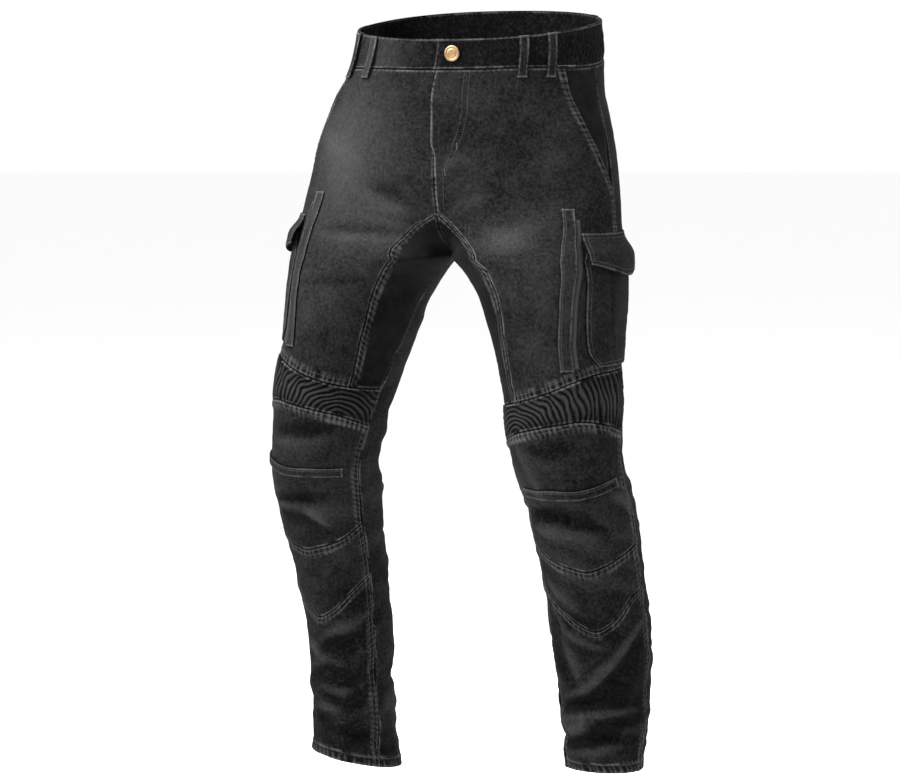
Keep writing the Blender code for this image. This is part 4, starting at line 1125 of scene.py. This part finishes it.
    def sew_tan_row(self) -> None:
        """The short row in tan thread above the left pocket mouth."""
        angle = np.radians(np.linspace(*self.TAN_ROW, 24))
        foot, head = (self.hips.waist(angle, 0.06 + 0 * angle, out) for out in (0.0002, 0.0102))
        row = Thread()
        row.row((foot, unit(head - foot)), pitch=0.0038)
        row.make("stitches_tan", self.finishes["tan"])


def sew_fly(thread: Thread, front_edge: Curve) -> None:
    """The curved double rows of stitches beside the fly, and the bar tack where they end."""
    drop = np.linspace(0.004, 0.150, 60)
    for shift in (0.0, 0.0062):
        turn = front_edge(drop) - shift / girth(drop) * (1 - 0.6 * ease(drop, 0.10, 0.15))
        thread.row((CLOTH.points(Side.LEFT, turn, drop), CLOTH.away(Side.LEFT, turn, drop)))
    drop = np.linspace(0.146, 0.205, 30)
    for shift in (0.0020, 0.0080):
        turn = shift / girth(drop)
        thread.row((CLOTH.points(Side.LEFT, turn, drop), CLOTH.away(Side.LEFT, turn, drop)))
    for drop_at, turn_at in ((0.150, 0.018), (0.112, 0.040)):
        place = [CLOTH.points(Side.LEFT, np.array(turn_at), np.array(drop_at + d)) for d in (0.0, 0.004)]
        thread.bar(place[0], place[1] - place[0], CLOTH.away(Side.LEFT, np.array(turn_at), np.array(drop_at)), 0.009, 11)


Number = float | int


class Value:
    """A number at a socket of a shader, so that its maths reads as maths."""

    def __init__(self, shader: "Shader", socket: bpy.types.NodeSocket) -> None:
        """Keeps the socket and the shader it is in."""
        self.shader, self.socket = shader, socket

    def math(self, operation: str, first: "Value | Number", second: "Value | Number", clamp: bool = False) -> "Value":
        """The result of a Math node on two numbers."""
        node = self.shader.node("ShaderNodeMath", {"operation": operation, "use_clamp": clamp}, {0: first, 1: second})
        return Value(self.shader, node.outputs[0])

    def __add__(self, other: "Value | Number") -> "Value":
        """The sum."""
        return self.math("ADD", self, other)

    __radd__ = __add__

    def __sub__(self, other: "Value | Number") -> "Value":
        """The difference."""
        return self.math("SUBTRACT", self, other)

    def __rsub__(self, other: Number) -> "Value":
        """A number less this one."""
        return self.math("SUBTRACT", other, self)

    def __mul__(self, other: "Value | Number") -> "Value":
        """The product."""
        return self.math("MULTIPLY", self, other)

    __rmul__ = __mul__

    def clamped(self) -> "Value":
        """The same number, kept from 0 to 1."""
        return self.math("ADD", self, 0.0, clamp=True)


class Shader:
    """A material's nodes."""

    def __init__(self, name: str) -> None:
        """Starts a material with its Principled BSDF."""
        self.material = bpy.data.materials.new(name)
        self.material.use_nodes = True
        self.tree = self.material.node_tree
        self.surface = self.tree.nodes["Principled BSDF"]

    def node(self, kind: str, settings: dict[str, object], sockets: dict[str | int, object]) -> bpy.types.Node:
        """Adds a node.

        Args:
            kind: the node's type.
            settings: its settings, which are set first.
            sockets: a number, a colour or a Value for each of its input sockets.

        Returns:
            The node.
        """
        made = self.tree.nodes.new(kind)
        for key, setting in settings.items():
            setattr(made, key, setting)
        for key, value in sockets.items():
            if isinstance(value, Value):
                self.tree.links.new(value.socket, made.inputs[key])
            else:
                made.inputs[key].default_value = value
        return made

    def value(self, kind: str, settings: dict[str, object], sockets: dict[str | int, object],
              output: str | int = 0) -> Value:
        """Adds a node and gives one of its outputs."""
        return Value(self, self.node(kind, settings, sockets).outputs[output])

    def noise(self, scale: float, detail: float = 2.0, roughness: float = 0.55) -> Value:
        """Noise over the object, about 0.5, with features of about a metre over scale."""
        where = self.value("ShaderNodeTexCoord", {}, {}, "Object")
        return self.value("ShaderNodeTexNoise", {}, {"Vector": where, "Scale": scale, "Detail": detail,
                                                     "Roughness": roughness}, "Fac")

    def lines(self, scale: tuple[float, float], tilt: float) -> Value:
        """Parallel lines over the flat cloth, so many a metre across and down it."""
        flat = self.value("ShaderNodeUVMap", {"uv_map": "cloth"}, {})
        turned = self.value("ShaderNodeMapping", {}, {"Vector": flat, "Rotation": (0, 0, math.radians(tilt)),
                                                      "Scale": (*scale, 1)})
        return self.value("ShaderNodeTexWave", {"wave_type": "BANDS"}, {"Vector": turned, "Scale": 1.0,
                                                                        "Distortion": 1.2, "Detail": 1.0}, "Fac")

    def mix(self, share: Value, low: Sequence[float], high: Sequence[float]) -> Value:
        """A colour between two."""
        node = self.node("ShaderNodeMix", {"data_type": "RGBA"}, {0: share, 6: (*low, 1), 7: (*high, 1)})
        return Value(self, node.outputs[2])

    def set(self, sockets: dict[str, object]) -> None:
        """Sets or links the sockets of the surface."""
        for key, value in sockets.items():
            if isinstance(value, Value):
                self.tree.links.new(value.socket, self.surface.inputs[key])
            else:
                self.surface.inputs[key].default_value = value

    def bump(self, height: Value, distance: float, strength: float = 1.0) -> Value:
        """A normal from a height in units of distance."""
        return self.value("ShaderNodeBump", {}, {"Height": height, "Distance": distance, "Strength": strength}, "Normal")


@dataclass(frozen=True)
class ClothFinish:
    """Woven cotton, dark where it is new, paler where it is washed out and where highlight is painted on it, and
    darker where shade is painted on it.
    """

    name: str
    dark: tuple[float, float, float]
    pale: tuple[float, float, float]
    speckle: float
    twill: float  # lines of the weave in a metre
    roughness: float = 0.90
    sheen: float = 0.0

    def make(self) -> bpy.types.Material:
        """The material."""
        shader = Shader(self.name)
        # The attribute holds the cloth's paleness: washed out in places, with painted highlight on fold and seam
        # ridges and painted shade in their troughs and grooves.
        worn = shader.value("ShaderNodeAttribute", {"attribute_name": "worn"}, {}, "Fac")
        flecks, clouds, dust = shader.noise(620.0, 3.0, 0.7), shader.noise(42.0, 3.0), shader.noise(230.0, 2.0, 0.6)
        weave = shader.lines((self.twill, self.twill * 0.35), 28.0)
        share = (worn + (flecks - 0.5) * self.speckle + (dust - 0.5) * self.speckle * 0.8
                 + (clouds - 0.5) * 0.17 + (weave - 0.5) * 0.06)
        height = weave * 0.45 + flecks * 0.5 + dust * 0.35
        shader.set({"Base Color": shader.mix(share.clamped(), self.dark, self.pale),
                    "Roughness": (self.roughness + (clouds - 0.5) * 0.10).clamped(),
                    "Normal": shader.bump(height, 0.00035, 0.8), "Sheen Weight": self.sheen, "Sheen Roughness": 0.45,
                    "Specular IOR Level": 0.05})
        return shader.material


@dataclass(frozen=True)
class PlainFinish:
    """A small hard or twisted piece of one colour, a little uneven."""

    name: str
    dark: tuple[float, float, float]
    pale: tuple[float, float, float]
    roughness: float
    metallic: float = 0.0
    grain: float = 900.0

    def make(self) -> bpy.types.Material:
        """The material."""
        shader = Shader(self.name)
        fine, broad = shader.noise(self.grain, 2.0), shader.noise(160.0, 3.0)
        shader.set({"Base Color": shader.mix((fine * 0.6 + broad * 0.8 - 0.2).clamped(), self.dark, self.pale),
                    "Roughness": (self.roughness + (broad - 0.5) * 0.25).clamped(), "Metallic": self.metallic,
                    "Normal": shader.bump(fine, 0.00015, 0.6)})
        return shader.material


FINISHES = {
    "denim": ClothFinish("denim", (0.0010, 0.0010, 0.0011), (0.076, 0.076, 0.077), 0.48, 1500.0),
    "stretch": ClothFinish("stretch", (0.0012, 0.0012, 0.0013), (0.060, 0.060, 0.061), 0.17, 1900.0),
    "rib": ClothFinish("rib", (0.0008, 0.0008, 0.0009), (0.080, 0.080, 0.081), 0.34, 1700.0),
    "thread": PlainFinish("thread", (0.010, 0.010, 0.010), (0.062, 0.062, 0.062), 0.75, grain=330.0),
    "tan": PlainFinish("tan", (0.16, 0.12, 0.07), (0.42, 0.34, 0.22), 0.75, grain=330.0),
    "tape": PlainFinish("tape", (0.004, 0.004, 0.004), (0.010, 0.010, 0.011), 0.85),
    "teeth": PlainFinish("teeth", (0.006, 0.006, 0.006), (0.020, 0.020, 0.021), 0.38),
    "brass": PlainFinish("brass", (0.16, 0.095, 0.045), (0.42, 0.28, 0.15), 0.48, 1.0),
}


@dataclass
class Studio:
    """The camera at the photograph's angle, a pale floor and soft light."""

    azimuth: float = 22.0
    elevation: float = 6.0
    distance: float = 4.0
    aim: tuple[float, float, float] = (0.0, 0.0, -0.50)
    lens: float = 115.5
    shift: tuple[float, float] = (-0.0333, 0.0078)
    floor_z: float = -1.25

    def toward(self, azimuth: float, elevation: float) -> Vector:
        """The direction of a place at these angles from the front."""
        az, el = math.radians(azimuth), math.radians(elevation)
        return Vector((math.sin(az) * math.cos(el), -math.cos(az) * math.cos(el), math.sin(el)))

    def add_camera(self) -> None:
        """Adds the camera."""
        data = bpy.data.cameras.new("camera")
        data.lens = self.lens
        data.shift_x, data.shift_y = self.shift
        made = bpy.data.objects.new("camera", data)
        away = self.toward(self.azimuth, self.elevation)
        made.location = Vector(self.aim) + away * self.distance
        made.rotation_euler = (-away).to_track_quat("-Z", "Y").to_euler()
        bpy.context.scene.collection.objects.link(made)
        bpy.context.scene.camera = made

    def add_light(self, name: str, azimuth: float, elevation: float, watts: float, size: float) -> None:
        """Adds a soft square light 3 m away."""
        data = bpy.data.lights.new(name, "AREA")
        data.energy, data.size = watts, size
        made = bpy.data.objects.new(name, data)
        away = self.toward(azimuth, elevation)
        made.location = Vector(self.aim) + away * 3.0
        made.rotation_euler = (-away).to_track_quat("-Z", "Y").to_euler()
        bpy.context.scene.collection.objects.link(made)

    def add_floor(self) -> None:
        """Adds the pale floor, a wide disc."""
        steps, radius = 64, 40.0
        ring = [(radius * math.cos(k), radius * math.sin(k), self.floor_z)
                for k in np.arange(steps) * 2 * math.pi / steps]
        made = mesh_object("floor", np.array(ring), [list(range(steps))],
                           PlainFinish("floor", (0.95, 0.95, 0.95), (0.97, 0.97, 0.97), 0.9, 0.0, 3.0).make())

    def make(self) -> None:
        """Builds the studio."""
        world = bpy.data.worlds.new("studio")
        world.use_nodes = True
        world.node_tree.nodes["Background"].inputs["Color"].default_value = (1.0, 1.0, 1.0, 1.0)
        world.node_tree.nodes["Background"].inputs["Strength"].default_value = 1.0
        bpy.context.scene.world = world
        bpy.context.scene.view_settings.view_transform = "Standard"
        self.add_camera()
        self.add_floor()
        self.add_light("key", -42.0, 46.0, 210.0, 1.0)
        self.add_light("fill", 75.0, 15.0, 18.0, 2.0)
        self.add_light("top", 20.0, 78.0, 60.0, 1.4)
        self.add_light("rim", 200.0, 30.0, 60.0, 1.8)


def main() -> None:
    """Builds the garment's looks in order."""
    logging.basicConfig(level=logging.INFO, format="%(name)s: %(message)s")
    Studio().make()
    finishes = {name: finish.make() for name, finish in FINISHES.items()}
    for side in Side:
        thread = Thread()
        panels = Panels(finishes, thread)
        panels.make(side)
        trim = Trim(side, finishes, thread)
        trim.make_zip()
        trim.make_band()
        trim.make_pocket()
        if side is Side.LEFT:
            sew_fly(thread, Curve((0.004, 0.045, 0.080, 0.110, 0.135, 0.150), (0.066, 0.067, 0.057, 0.043, 0.028, 0.019)))
        thread.make(f"stitches_{side.word}", finishes["thread"])
    thread = Thread()
    Waist(finishes, thread).make()
    thread.make("stitches_waist", finishes["thread"])


if __name__ == "__main__":
    main()
